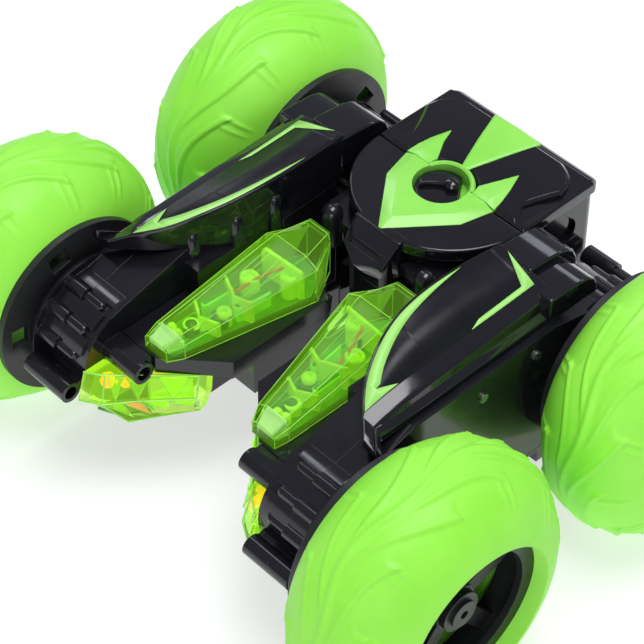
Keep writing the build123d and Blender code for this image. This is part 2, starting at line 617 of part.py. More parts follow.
EMBLEM_DEPTH = 1.0
SPLIT_GAP = 0.2              # each side of the split line between front cover and lid
SHIELD_POINTS = ((0.0, 16.3), (0.6, 16.4), (14.8, 31.85), (17.6, 43.0), (13.5, 57.1), (6.6, 45.2))


def emblem_half(points):
    """Close a half outline over the centre line."""
    left = [(-x, y) for x, y in reversed(points) if x > 0.0]
    return list(points) + left


def emblem_sketch():
    """Plan of the whole green emblem: shield with two horns, and a fan behind it."""
    shield = face_of(emblem_half(SHIELD_POINTS))
    fan = face_of(((0.0, 44.0), (9.2, 70.4), (-9.2, 70.4)))
    ring = Pos(0, KNOB_Y) * Circle(POCKET_RADIUS + 2.4)
    return shield + fan + ring


def front_half(sketch, grow=0.0):
    """What lies ahead of the lid split line."""
    return sketch & Pos(0, POD_ARC_Y - 50 - SPLIT_GAP + grow) * Rectangle(200, 100)


def rear_half(sketch):
    """What lies behind the lid split line."""
    return sketch & Pos(0, POD_ARC_Y + 50 + SPLIT_GAP) * Rectangle(200, 100)


def pocket_cut():
    """Opening of the knob pocket through the cover and the emblem."""
    return post(POCKET_RADIUS, 0, KNOB_Y, 60, 80)


def front_cover():
    """Round front cover with the sloping tongue."""
    disc = front_half(Pos(0, POD_ARC_Y) * Circle(POD_HALF_WIDTH))
    cover = Pos(0, 0, COVER_BOTTOM_Z) * extrude(disc, COVER_TOP_Z - COVER_BOTTOM_Z)
    tongue = slab([(16.4, 64.0), (16.4, 72.7), (8.3, 67.2), (8.9, 64.0), (10.2, 62.6), (14.0, 62.6)], -8.5, 8.5)
    tongue -= column(50, COVER_BOTTOM_Z)
    tongue -= block(-30, 30, 16.0, 30, 0, COVER_BOTTOM_Z)
    tongue_root = block(-8.5, 8.5, 15.5, 18.0, COVER_BOTTOM_Z, 72.0)
    cover += tongue
    cover += tongue_root
    cover -= pocket_cut()
    recess = Pos(0, 0, COVER_TOP_Z - EMBLEM_DEPTH) * extrude(front_half(emblem_sketch(), 1.0), 4)
    return cover - recess


def cover_emblem():
    """Green inlay in the front cover."""
    inlay = Pos(0, 0, COVER_TOP_Z - EMBLEM_DEPTH) * extrude(front_half(emblem_sketch()), EMBLEM_DEPTH + 0.3)
    floor = post(POCKET_RADIUS + 0.9, 0, KNOB_Y, 66.1, POCKET_FLOOR_Z)
    return inlay - pocket_cut() + floor


def battery_lid():
    """Rear lid over the battery, with a raised panel, hinge barrel and recess for its inlay."""
    outline = rear_half(pod_outline(POD_HALF_WIDTH, POD_HALF_WIDTH, POD_REAR_Y, 3.0))
    lid = Pos(0, 0, COVER_BOTTOM_Z + 0.1) * extrude(outline, COVER_TOP_Z - COVER_BOTTOM_Z - 0.1)
    panel_points = ((24.6, 42.8), (22.2, 49.5), (27.0, 60.0), (24.2, 67.0), (18.6, 70.4))
    mirror_points = tuple((-x, y) for x, y in reversed(panel_points))
    lid += plate(panel_points + mirror_points, COVER_TOP_Z - 0.1, LID_TOP_Z)
    recess = Pos(0, 0, LID_TOP_Z - EMBLEM_DEPTH) * extrude(rear_half(emblem_sketch()), 4)
    edges = [lid.edges().filter_by(Axis.X).sort_by(Axis.Y)[-1]]
    lid = chamfer(edges, 1.6)
    return lid - recess - pocket_cut()


def lid_emblem():
    """Green inlay in the lid: the horns and the fan."""
    inlay = Pos(0, 0, LID_TOP_Z - EMBLEM_DEPTH) * extrude(rear_half(emblem_sketch()), EMBLEM_DEPTH + 0.2)
    return inlay - pocket_cut()


def lock_knob():
    """Twist lock: a disc with a flat and a raised finger bar, on a short stem."""
    disc = post(KNOB_RADIUS, 0, KNOB_Y, POCKET_FLOOR_Z + GAP, KNOB_TOP_Z)
    flat = Pos(KNOB_RADIUS + 6.2, 0, 0) * block(-4, 4, KNOB_Y - 10, KNOB_Y + 10, 60, 80)
    bar = block(-6.4, 3.6, KNOB_Y - 1.7, KNOB_Y + 1.7, KNOB_TOP_Z - 0.1, KNOB_TOP_Z + 2.2)
    body = disc - flat + bar
    return body.rotate(Axis((0, KNOB_Y, 0), (0, 0, 1)), 38)


def battery_pack():
    """Wrapped battery pack in the bay under the lid."""
    cells = []
    for y in (54.8, 65.6):
        cells.append(rod(5.3, -23.0, 23.0, y, 63.2))
    spacer = block(-23.0, 23.0, 54.8, 65.6, 58.6, 66.6)
    return cells[0] + spacer + cells[1]


BOARD_PARTS = (
    # centre x, centre y, width, depth, height
    (0, 48, 9, 9, 1.8),
    (-12, 60, 7, 5, 3.0),
    (12, 38, 6, 6, 4.0),
    (11, 58, 5, 9, 2.4),
)


def circuit_board():
    """Receiver board on the floor of the pod, with its larger parts."""
    board = block(-20, 20, 30.0, 68.0, 26.0, 27.6)
    for x, y, width, depth, height in BOARD_PARTS:
        board += block(x - width / 2, x + width / 2, y - depth / 2, y + depth / 2, 27.5, 27.6 + height)
    for x, y in ((-16, 34), (16, 64)):
        board += post(2.6, x, y, POD_BOTTOM_Z + 2.2, 26.0)
    return board


def switch_body():
    """Power switch case on the floor of the pod."""
    return block(-6, 6, 56.5, 63.5, POD_BOTTOM_Z + 3.4, 20.0)


def switch_slider():
    """Slider of the power switch, reached through the slot in the floor."""
    return block(-4.0, 0.0, 58.4, 61.6, POD_BOTTOM_Z + 0.5, POD_BOTTOM_Z + 3.0)


POD_SCREWS = ((-20, 36), (20, 36), (-22, 66), (22, 66))


def pod_screws():
    """Case screws in the underside of the pod."""
    screws = []
    for x, y in POD_SCREWS:
        screws.append(post(2.2, x, y, POD_BOTTOM_Z - 0.8, POD_BOTTOM_Z))
    return Compound(children=screws)


# ---- the model ---------------------------------------------------------------------------------
def build_nodes():
    """Every node of the car by name."""
    nodes = {
        "pod_lower_shell": lower_shell(),
        "pod_upper_shell": upper_shell(),
        "pod_front_cover": front_cover(),
        "cover_emblem": cover_emblem(),
        "battery_lid": battery_lid(),
        "lid_emblem": lid_emblem(),
        "lock_knob": lock_knob(),
        "battery_pack": battery_pack(),
        "circuit_board": circuit_board(),
        "switch_body": switch_body(),
        "switch_slider": switch_slider(),
        "pod_screws": pod_screws(),
    }
    top_cover = arm_cover()
    left = {
        "inner_shell": inner_shell(),
        "outer_shell": outer_shell(),
        "top_cover": top_cover,
        "bottom_cover": upside_down(top_cover),
        "lens_tray": lens_tray(),
        "signal_lens": signal_lens(),
        "light_board": light_board(),
        "headlamp_lens": headlamp_lens(),
        "headlamp_led": headlamp_led(),
        "motor": motor(),
        "motor_pinion": motor_pinion(),
        "compound_gear": compound_gear(),
        "front_idler_gear": idler_gear(-1),
        "rear_idler_gear": idler_gear(1),
        "gear_pins": gear_pins(),
        "shell_screws": shell_screws(),
    }
    for name, y in (("front", -AXLE_Y), ("rear", AXLE_Y)):
        left[f"{name}_tyre"] = tyre(y)
        left[f"{name}_rim"] = rim(y)
        left[f"{name}_axle"] = axle(y)
        left[f"{name}_hub_cap"] = hub_cap(y)
    for name, shape in left.items():
        nodes[f"left_{name}"] = shape
        nodes[f"right_{name}"] = mirrored(shape)
    return nodes


os.makedirs("parts", exist_ok=True)
for node, solid in build_nodes().items():
    export_step(solid, f"parts/{node}.step")
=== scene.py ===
import json
import math

import bmesh
import bpy
import numpy as np
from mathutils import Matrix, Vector


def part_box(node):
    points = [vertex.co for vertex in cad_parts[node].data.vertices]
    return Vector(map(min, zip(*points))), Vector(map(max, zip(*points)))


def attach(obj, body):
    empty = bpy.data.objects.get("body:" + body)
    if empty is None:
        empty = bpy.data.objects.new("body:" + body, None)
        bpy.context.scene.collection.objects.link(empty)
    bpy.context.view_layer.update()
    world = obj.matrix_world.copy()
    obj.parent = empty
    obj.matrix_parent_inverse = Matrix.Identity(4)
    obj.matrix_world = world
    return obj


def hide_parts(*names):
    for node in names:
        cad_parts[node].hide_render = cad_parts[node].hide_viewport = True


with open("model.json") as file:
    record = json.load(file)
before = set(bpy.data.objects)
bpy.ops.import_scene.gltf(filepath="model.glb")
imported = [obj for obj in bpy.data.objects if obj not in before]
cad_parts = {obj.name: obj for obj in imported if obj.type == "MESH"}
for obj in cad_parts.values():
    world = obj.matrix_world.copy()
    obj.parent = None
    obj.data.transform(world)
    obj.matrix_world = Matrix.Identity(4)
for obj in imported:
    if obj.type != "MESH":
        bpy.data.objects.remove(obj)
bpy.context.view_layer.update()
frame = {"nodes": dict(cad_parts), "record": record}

MM = 0.001
SIDES = {"left": 1, "right": -1}
ENDS = ("front", "rear")


def corner(node, top):
    """Lowest or highest corner of a CAD node, in millimetres."""
    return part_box(node)[top] / MM


# ---- materials ---------------------------------------------------------------------------------
def material(name):
    """A new node material: (material, its node tree, its Principled shader)."""
    made = bpy.data.materials.new(name)
    made.use_nodes = True
    return made, made.node_tree, made.node_tree.nodes["Principled BSDF"]


def noise(tree, scale, detail=3.0, rough=0.55):
    """Noise in object space, with scale in features per metre."""
    place = tree.nodes.new("ShaderNodeTexCoord")
    texture = tree.nodes.new("ShaderNodeTexNoise")
    texture.inputs["Scale"].default_value = scale
    texture.inputs["Detail"].default_value = detail
    texture.inputs["Roughness"].default_value = rough
    tree.links.new(place.outputs["Object"], texture.inputs["Vector"])
    return texture.outputs["Fac"]


def spread(tree, value, low, high, start=0.3, end=0.7):
    """Map a noise value to the range low..high."""
    ramp = tree.nodes.new("ShaderNodeMapRange")
    ramp.inputs["From Min"].default_value = start
    ramp.inputs["From Max"].default_value = end
    ramp.inputs["To Min"].default_value = low
    ramp.inputs["To Max"].default_value = high
    tree.links.new(value, ramp.inputs["Value"])
    return ramp.outputs["Result"]


def two_tone(tree, value, dark, light):
    """Mix two colours by a value."""
    mix = tree.nodes.new("ShaderNodeMix")
    mix.data_type = "RGBA"
    mix.inputs["A"].default_value = (*dark, 1)
    mix.inputs["B"].default_value = (*light, 1)
    tree.links.new(value, mix.inputs["Factor"])
    return mix.outputs["Result"]


def relief(tree, shader, value, depth_mm, edge_mm=0.0):
    """Bump from a value, over softened edges."""
    bump = tree.nodes.new("ShaderNodeBump")
    bump.inputs["Distance"].default_value = depth_mm * MM
    bump.inputs["Strength"].default_value = 1.0
    tree.links.new(value, bump.inputs["Height"])
    if edge_mm:
        edge = tree.nodes.new("ShaderNodeBevel")
        edge.samples = 4
        edge.inputs["Radius"].default_value = edge_mm * MM
        tree.links.new(edge.outputs["Normal"], bump.inputs["Normal"])
    tree.links.new(bump.outputs["Normal"], shader.inputs["Normal"])


def plastic(name, dark, light, rough, edge_mm=0.0, depth_mm=0.02, grain=900.0, coat=0.0,
            glow=None, shine=0.5):
    """Moulded plastic: slight colour and gloss variation, fine surface relief, soft edges."""
    made, tree, shader = material(name)
    broad = noise(tree, 45.0)
    tree.links.new(two_tone(tree, spread(tree, broad, 0.0, 1.0), dark, light), shader.inputs["Base Color"])
    tree.links.new(spread(tree, noise(tree, 130.0, 6.0), *rough), shader.inputs["Roughness"])
    relief(tree, shader, noise(tree, grain, 2.0), depth_mm, edge_mm)
    shader.inputs["Specular IOR Level"].default_value = shine
    shader.inputs["Coat Weight"].default_value = coat
    shader.inputs["Coat Roughness"].default_value = 0.04
    # glow: an emission; on the lens and headlamp plastics it is painted glow.
    if glow:
        shader.inputs["Emission Color"].default_value = (*glow[:3], 1)
        shader.inputs["Emission Strength"].default_value = glow[3]
    return made


def tinted_clear(name, tint, rough, glow, bend):
    """Tinted clear plastic: tinted glass with a faint emission that is painted glow, brightening it from
    within.
    """
    made, tree, shader = material(name)
    broad = noise(tree, 60.0)
    deep = tuple(c * 0.82 for c in tint)
    tree.links.new(two_tone(tree, spread(tree, broad, 0.0, 1.0), deep, tint), shader.inputs["Base Color"])
    tree.links.new(spread(tree, noise(tree, 200.0), *rough), shader.inputs["Roughness"])
    relief(tree, shader, noise(tree, 500.0, 2.0), 0.015, 0.25)
    shader.inputs["Transmission Weight"].default_value = 1.0
    shader.inputs["IOR"].default_value = bend
    # Emission: painted glow, brightening the clear plastic though it is no lamp.
    shader.inputs["Emission Color"].default_value = (*glow[:3], 1)
    shader.inputs["Emission Strength"].default_value = glow[3]
    return made


def metal(name, tint, rough):
    """Turned or drawn metal with a streaky finish."""
    made, tree, shader = material(name)
    shader.inputs["Metallic"].default_value = 1.0
    darker = tuple(c * 0.8 for c in tint)
    tree.links.new(two_tone(tree, noise(tree, 300.0), darker, tint), shader.inputs["Base Color"])
    tree.links.new(spread(tree, noise(tree, 900.0), *rough), shader.inputs["Roughness"])
    relief(tree, shader, noise(tree, 2500.0), 0.01)
    return made


LOOK = {
    "gloss": plastic("gloss_black", (0.0055, 0.0055, 0.008), (0.009, 0.0085, 0.0125),
                     (0.05, 0.12), 0.3, 0.005, 300.0, 0.25),
    "shell": plastic("moulded_black", (0.006, 0.006, 0.0085), (0.011, 0.0105, 0.0145),
                     (0.1, 0.2), 0.3, 0.008, 450.0, 0.15),
    "satin": plastic("satin_black", (0.013, 0.013, 0.0145), (0.022, 0.022, 0.024),
                     (0.32, 0.46), 0.3, 0.03, 1500.0),
    "film": plastic("printed_film", (0.009, 0.0085, 0.012), (0.013, 0.0125, 0.017),
                    (0.28, 0.4), 0.0, 0.01, 2200.0, 0.0, None, 0.25),
    "stripe": plastic("lime_print", (0.38, 0.83, 0.17), (0.44, 0.9, 0.22),
                      (0.3, 0.45), 0.0, 0.01, 2000.0),
    "lime": plastic("lime_plastic", (0.27, 0.78, 0.08), (0.34, 0.86, 0.13),
                    (0.24, 0.36), 0.25, 0.012, 700.0, 0.1),
    "tyre": plastic("lime_vinyl", (0.3, 0.9, 0.055), (0.36, 0.97, 0.08), (0.4, 0.55), 0.0, 0.03, 1800.0),
    # clear and amber: tinted clear plastics with a painted glow (last tuple: glow colour and strength).
    "clear": tinted_clear("green_clear", (0.74, 1.0, 0.46), (0.02, 0.08), (0.34, 0.85, 0.04, 0.1), 1.16),
    # edge: glowing lime for thin bars along edges, which are painted highlight lines; the slot blocks inside
    # the lens use it too, as painted glow.
    "edge": plastic("green_painted_highlight", (0.25, 0.75, 0.04), (0.42, 0.92, 0.1),
                    (0.12, 0.22), 0.0, 0.01, 900.0, 0.3, (0.3, 0.9, 0.05, 0.06)),
    # inner: light yellow-green with an emission, which is painted glow on the parts moulded inside the lens.
    "inner": plastic("green_inner_painted_glow", (0.3, 0.62, 0.03), (0.7, 0.95, 0.12),
                     (0.1, 0.2), 0.25, 0.02, 250.0, 0.4, (0.6, 0.9, 0.05, 0.1)),
    "floor": plastic("green_shade", (0.02, 0.15, 0.008), (0.12, 0.42, 0.04),
                     (0.12, 0.24), 0.2, 0.02, 160.0, 0.2),
    "frost": plastic("frosted_cap", (0.62, 0.88, 0.62), (0.8, 0.96, 0.78),
                     (0.3, 0.45), 0.2, 0.02, 900.0),
    "amber": tinted_clear("yellow_green_clear", (0.75, 1.0, 0.35), (0.02, 0.1),
                          (0.45, 0.85, 0.03, 0.16), 1.2),
    # glow: orange with an emission on one headlamp facet, which is painted glow.
    "glow": plastic("amber_painted_glow", (0.8, 0.36, 0.02), (0.95, 0.5, 0.05),
                    (0.2, 0.3), 0.0, 0.01, 600.0, 0.3, (0.85, 0.4, 0.02, 0.25)),
    "wire": plastic("red_wire", (0.6, 0.07, 0.02), (0.75, 0.12, 0.03), (0.25, 0.4), 0.0, 0.01, 900.0),
    "board": plastic("board_green", (0.012, 0.1, 0.03), (0.02, 0.14, 0.04),
                     (0.3, 0.45), 0.2, 0.02, 900.0),
    "led": plastic("amber_led", (0.9, 0.3, 0.02), (1.0, 0.45, 0.05),
                   (0.2, 0.3), 0.0, 0.01, 500.0, 0.0, (1.0, 0.4, 0.03, 0.8)),
    "nylon": plastic("natural_nylon", (0.62, 0.61, 0.56), (0.7, 0.69, 0.65),
                     (0.3, 0.45), 0.12, 0.02, 1200.0),
    "wrap": plastic("battery_wrap", (0.02, 0.09, 0.35), (0.03, 0.13, 0.45),
                    (0.18, 0.3), 0.2, 0.02, 600.0),
    "steel": metal("steel", (0.62, 0.62, 0.65), (0.18, 0.34)),
    "can": metal("motor_can", (0.55, 0.56, 0.6), (0.22, 0.4)),
}
SLOT_LOOK = {
    "black_shell": "shell", "gloss_cover": "gloss", "green_tyre": "tyre", "green_plastic": "lime",
    "green_lens": "clear", "amber_lens": "amber", "led": "led", "board": "board", "motor_can": "can",
    "steel": "steel", "gear_plastic": "nylon", "battery_wrap": "wrap",
}


# ---- mesh helpers ------------------------------------------------------------------------------
def lofted(rings):
    """Skin over closed rings of equal length, with end caps."""
    count = len(rings[0])
    points = [p for ring in rings for p in ring]
    faces = []
    for row in range(len(rings) - 1):
        for i in range(count):
            a = row * count + i
            b = row * count + (i + 1) % count
            faces.append((a, b, b + count, a + count))
    last = (len(rings) - 1) * count
    faces.append(tuple(reversed(range(count))))
    faces.append(tuple(last + i for i in range(count)))
    return points, faces


def inset(outline, by):
    """A closed outline moved inwards by a distance; counter-clockwise outlines shrink."""
    count = len(outline)
    moved = []
    for i in range(count):
        before, here, after = (Vector(outline[(i + k) % count][:2]) for k in (-1, 0, 1))
        into = (here - before).normalized()
        out = (after - here).normalized()
        normals = Vector((-into.y, into.x)), Vector((-out.y, out.x))
        mitre = normals[0] + normals[1]
        reach = max(mitre.length_squared / 2, 0.35)
        moved.append(tuple(here + mitre * (by / reach)))
    return moved


def counter_clockwise(outline):
    """The outline, turned round if it runs clockwise."""
    area = sum(a[0] * b[1] - b[0] * a[1] for a, b in zip(outline, outline[1:] + outline[:1]))
    return list(outline) if area > 0 else list(reversed(outline))


def plaque(outline, z0, z1, chamfer=0.0):
    """Flat plate from z0 to z1 with a chamfered top edge."""
    outline = counter_clockwise(outline)
    rings = [[(x, y, z0) for x, y in outline]]
    rings.append([(x, y, z1 - chamfer) for x, y in outline])
    if chamfer:
        rings.append([(x, y, z1) for x, y in inset(outline, chamfer)])
    return lofted(rings)


def slab(outline, x0, x1):
    """Plate standing across X, from an outline in (y, z)."""
    outline = counter_clockwise(outline)
    return lofted([[(x, y, z) for y, z in outline] for x in (x0, x1)])


def turned(profile, centre, axis="X", segments=48):
    """Solid of revolution: profile of (distance along the axis, radius), round a centre point."""
    rings = []
    for along, radius in profile:
        ring = []
        for step in range(segments):
            a = 2 * math.pi * step / segments
            c, s = radius * math.cos(a), radius * math.sin(a)
            if axis == "X":
                ring.append((centre[0] + along, centre[1] + c, centre[2] + s))
            elif axis == "Y":
                ring.append((centre[0] + s, centre[1] + along, centre[2] + c))
            else:
                ring.append((centre[0] + c, centre[1] + s, centre[2] + along))
        rings.append(ring)
    return lofted(rings)


def bar(path, radius, sides=6):
    """A thin round bar along straight runs, mitred where they meet."""
    path = [Vector(p) for p in path]
    rings = []
    for i, here in enumerate(path):
        before = (here - path[i - 1]).normalized() if i else (path[1] - here).normalized()
        after = (path[i + 1] - here).normalized() if i + 1 < len(path) else before
        along = (before + after).normalized()
        flat = along.cross(Vector((0.03, 0.05, 1.0))).normalized()
        upright = along.cross(flat)
        turns = [2 * math.pi * k / sides for k in range(sides)]
        rings.append([tuple(here + radius * (math.cos(a) * flat + math.sin(a) * upright)) for a in turns])
    return lofted(rings)


def arc(centre, radius, start, end, steps=12):
    """Points on an arc, angles in degrees."""
    angles = [math.radians(start + (end - start) * i / steps) for i in range(steps + 1)]
    return [(centre[0] + radius * math.cos(a), centre[1] + radius * math.sin(a)) for a in angles]


def rounded(outline, radius, steps=4):
    """An outline with its corners rounded by short curves."""
    out = []
    count = len(outline)
    for i in range(count):
        before, here, after = (Vector(outline[(i + k) % count][:2]) for k in (-1, 0, 1))
        room = min((here - before).length, (after - here).length) * 0.45
        cut = min(radius, room)
        start = here + (before - here).normalized() * cut
        end = here + (after - here).normalized() * cut
        for step in range(steps + 1):
            t = step / steps
            out.append(tuple(start * (1 - t) ** 2 + here * 2 * t * (1 - t) + end * t * t))
    return out


def piece(name, shape, look, body, side=1, crease=32.0, bevel=0.0, segments=2, stands_for=()):
    """A mesh object from (points, faces) in millimetres, riding on a CAD body."""
    points, faces = shape
    mesh = bpy.data.meshes.new(name)
    mesh.from_pydata([(side * x * MM, y * MM, z * MM) for x, y, z in points], [], faces)
    edit = bmesh.new()
    edit.from_mesh(mesh)
    bmesh.ops.remove_doubles(edit, verts=edit.verts, dist=0.002 * MM)
    bmesh.ops.recalc_face_normals(edit, faces=edit.faces)
    edit.to_mesh(mesh)
    edit.free()
    mesh.materials.append(LOOK[look])
    made = bpy.data.objects.new(name, mesh)
    bpy.context.scene.collection.objects.link(made)
    if bevel:
        soften = made.modifiers.new("soft_edges", "BEVEL")
        soften.width = bevel * MM
        soften.segments = segments
        soften.limit_method = "ANGLE"
        soften.angle_limit = math.radians(crease)
        soften.harden_normals = False
        mesh.shade_smooth()
        mesh.set_sharp_from_angle(angle=math.radians(60))
    else:
        mesh.shade_smooth()
        mesh.set_sharp_from_angle(angle=math.radians(crease))
    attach(made, body)
    if stands_for:
        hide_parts(*stands_for)
    return made


# ---- wheels ------------------------------------------------------------------------------------
BLADES = 12
SPINE_WAVES = 6
TYRE_AROUND = 540
TYRE_ACROSS = 112
TYRE_BORE = 25.2             # radius


def smooth_step(low, high, value):
    """0 below low, 1 above high, smooth between."""
    t = np.clip((value - low) / (high - low), 0, 1)
    return t * t * (3 - 2 * t)


def tread_height(around, across):
    """Height of the leaf tread in millimetres; angles in degrees round and across the tyre."""
    spine = 4.5 * np.sin(np.radians(SPINE_WAVES * around + 30))
    off = across - spine
    reach = np.abs(off)
    pitch = 360 / BLADES
    shift = np.where(off > 0, 0.0, pitch * 0.45)
    phase = (around + 2.0 * reach - 0.012 * reach ** 2 + shift) / pitch
    part = phase - np.floor(phase)
    rise = part ** 1.3 * (1 - smooth_step(0.86, 0.97, part))
    vein = np.exp(-((part - 0.74) / 0.05) ** 2) - 0.6 * np.exp(-((part - 0.62) / 0.05) ** 2)
    tip = 20.0 + 17.0 * part ** 2
    blade = 1 - smooth_step(tip, tip + 2.2, reach)
    inside = smooth_step(2.0, 10.0, reach)
    height = (0.95 * rise + 0.22 * vein) * blade * inside
    rib_phase = (around + 66.0 + shift) / pitch
    rib_part = rib_phase - np.floor(rib_phase)
    ribs = np.exp(-((rib_part - 0.3) / 0.035) ** 2) + 0.8 * np.exp(-((rib_part - 0.45) / 0.035) ** 2)
    height += 0.4 * ribs * smooth_step(29, 34, reach) * (1 - smooth_step(44, 62, reach))
    height += 0.75 * np.exp(-(reach / 3.2) ** 2)
    return height * (1 - smooth_step(64, 74, reach))


def tyre_shape(centre, half_width, radius, bore, side):
    """Closed balloon tyre with leaf tread."""
    core = radius - 21.5
    edge = math.degrees(math.acos((bore - core) / (radius - core)))
    around = np.linspace(0, 360, TYRE_AROUND, endpoint=False)
    across = np.linspace(-edge, edge, TYRE_ACROSS)
    grid_around, grid_across = np.meshgrid(around, across, indexing="ij")
    lift = tread_height(grid_around, grid_across) - 0.9
    angle = np.radians(grid_across)
    u = half_width * np.sin(angle) + lift * np.sin(angle)
    r = core + (radius - core) * np.cos(angle) + lift * np.cos(angle)
    turn = np.radians(grid_around)
    x = centre[0] + side * u
    y = centre[1] - r * np.sin(turn)
    z = centre[2] + r * np.cos(turn)
    points = np.stack([x, y, z], -1).reshape(-1, 3).tolist()
    faces = []
    for i in range(TYRE_AROUND):
        j = (i + 1) % TYRE_AROUND
        for k in range(TYRE_ACROSS):
            n = (k + 1) % TYRE_ACROSS
            faces.append((i * TYRE_ACROSS + k, i * TYRE_ACROSS + n, j * TYRE_ACROSS + n, j * TYRE_ACROSS + k))
    return points, faces


def add_wheels():
    """Balloon tyres of all four wheels."""
    for side_name, side in SIDES.items():
        for end in ENDS:
            node = f"{side_name}_{end}_tyre"
            low, high = corner(node, 0), corner(node, 1)
            centre = (low + high) / 2
            shape = tyre_shape(centre, (high.x - low.x) / 2 + 0.4, (high.z - low.z) / 2, TYRE_BORE, side)
            piece(f"{side_name}_{end}_leaf_tyre", shape, "tyre", f"{side_name}_{end}_wheel", 1, 180,
                  stands_for=[node])


# ---- arm covers --------------------------------------------------------------------------------
COVER_ROWS = (
    # y, inner edge x, inner edge z, outer edge z
    (-41.8, 51.6, 69.3, 69.2),
    (-39.5, 49.2, 70.6, 70.4),
    (-37.2, 46.6, 71.9, 71.7),
    (-33.0, 42.3, 73.4, 72.5),
    (-28.0, 38.5, 74.9, 73.2),
    (-20.0, 34.5, 77.2, 73.7),
    (-12.0, 31.8, 78.6, 74.0),
    (-4.0, 30.4, 79.3, 74.3),
    (6.0, 29.8, 79.5, 74.6),
    (18.0, 30.1, 79.2, 75.1),
    (30.0, 31.2, 78.6, 75.7),
)


def cover_edge(y, column):
    """Smoothly read one column of the cover rows at y."""
    ys = [row[0] for row in COVER_ROWS]
    values = [row[column] for row in COVER_ROWS]
    if y <= ys[0]:
        return values[0]
    if y >= ys[-1]:
        return values[-1]
    i = max(k for k in range(len(ys)) if ys[k] <= y)
    i = min(i, len(ys) - 2)
    h = ys[i + 1] - ys[i]
    t = (y - ys[i]) / h

    def slope(k):
        if k == 0:
            return (values[1] - values[0]) / (ys[1] - ys[0])
        if k == len(ys) - 1:
            return (values[-1] - values[-2]) / (ys[-1] - ys[-2])
        return (values[k + 1] - values[k - 1]) / (ys[k + 1] - ys[k - 1])

    a, b = values[i], values[i + 1]
    m, n = slope(i) * h, slope(i + 1) * h
    return (a * (1 + 2 * t) * (1 - t) ** 2 + m * t * (1 - t) ** 2
            + b * t * t * (3 - 2 * t) - n * t * t * (1 - t))


RIDGE_X = 47.2
TOP_SETBACK = 0.3


def ridge_x(y):
    """Outer top edge of the cover; it closes on the prow."""
    return max(RIDGE_X, cover_edge(y, 1) + 0.6)


def cover_top(x, y):
    """Height of the cover's tilted top."""
    inner_x, inner_z, outer_z = (cover_edge(y, k) for k in (1, 2, 3))
    start = inner_x + TOP_SETBACK
    t = (x - start) / max(ridge_x(y) - start, 0.3)
    return inner_z + (outer_z - inner_z) * t


COVER_STATIONS = [-41.8 + 0.95 * step for step in range(77)]
SKIRT_Z = 66.2               # lower edge of the cover's flared skirt
PEG_FOOT_Z = 61.8
PEGS = ((37.0, -23.0, 70.8), (32.3, -10.6, 72.4), (30.4, 2.3, 73.4))     # x, y, top z


def cover_shape():
    """The long glossy cover: tilted top, grey chamfer, dark flank and flared skirt."""
    rings = []
    for y in COVER_STATIONS:
        inner_x, inner_z, outer_z = (cover_edge(y, k) for k in (1, 2, 3))
        ridge = ridge_x(y)
        floor = SKIRT_Z if y < -26.0 else SKIRT_Z - 4.0 * min(1.0, (y + 26.0) / 3.0)
        step_x = max(inner_x + 0.3, 35.8)
        flank = [(ridge, outer_z), (ridge + 3.7, outer_z - 1.5), (ridge + 4.3, outer_z - 2.2),
                 (ridge + 4.6, 69.9), (ridge + 5.3, 69.0), (ridge + 6.3, 67.9), (ridge + 6.3, SKIRT_Z)]
        section = [(step_x, SKIRT_Z), (step_x, floor), (inner_x, floor), (inner_x, inner_z - 0.35),
                   (inner_x + TOP_SETBACK, inner_z)] + flank
        rings.append([(x, y, z) for x, z in section])
    return lofted(rings)


def cover_tail():
    """Stepped blocks behind the cover."""
    inner_block = slab([(29.5, 66.3), (29.5, 77.3), (36.0, 76.9), (41.5, 76.2), (45.0, 75.2), (47.4, 73.4),
                        (48.8, 70.5), (49.2, 66.3)], 30.9, 43.7)
    outer_block = slab([(26.6, 66.3), (26.6, 75.0), (33.0, 74.9), (38.5, 74.5), (42.0, 73.7), (44.6, 71.8),
                        (45.8, 69.3), (46.2, 66.3)], 43.2, 54.4)
    return inner_block, outer_block


def film_piece(name, outline, look, lift, side):
    """A piece of printed film laid on the cover's top."""
    mesh = bpy.data.meshes.new(name)
    edit = bmesh.new()
    verts = [edit.verts.new((x, y, 0)) for x, y in counter_clockwise(outline)]
    edit.faces.new(verts)
    for y in COVER_STATIONS:
        bmesh.ops.bisect_plane(edit, geom=edit.verts[:] + edit.edges[:] + edit.faces[:], plane_co=(0, y, 0),
                               plane_no=(0, 1, 0))
    bmesh.ops.triangulate(edit, faces=[f for f in edit.faces if len(f.verts) > 4])
    for vert in edit.verts:
        x, y = vert.co.x, vert.co.y
        vert.co = Vector((side * x * MM, y * MM, (cover_top(x, y) + lift) * MM))
    if side < 0:
        bmesh.ops.reverse_faces(edit, faces=edit.faces)
    bmesh.ops.recalc_face_normals(edit, faces=edit.faces)
    if sum(f.normal.z for f in edit.faces) < 0:
        bmesh.ops.reverse_faces(edit, faces=edit.faces)
    edit.to_mesh(mesh)
    edit.free()
    mesh.materials.append(LOOK[look])
    made = bpy.data.objects.new(name, mesh)
    bpy.context.scene.collection.objects.link(made)
    thick = made.modifiers.new("film", "SOLIDIFY")
    thick.thickness = 0.05 * MM
    thick.offset = -1
    mesh.shade_smooth()
    return made


def inner_line(y, away):
    """A point on the film beside the cover's inner edge."""
    return cover_edge(y, 1) + away, y


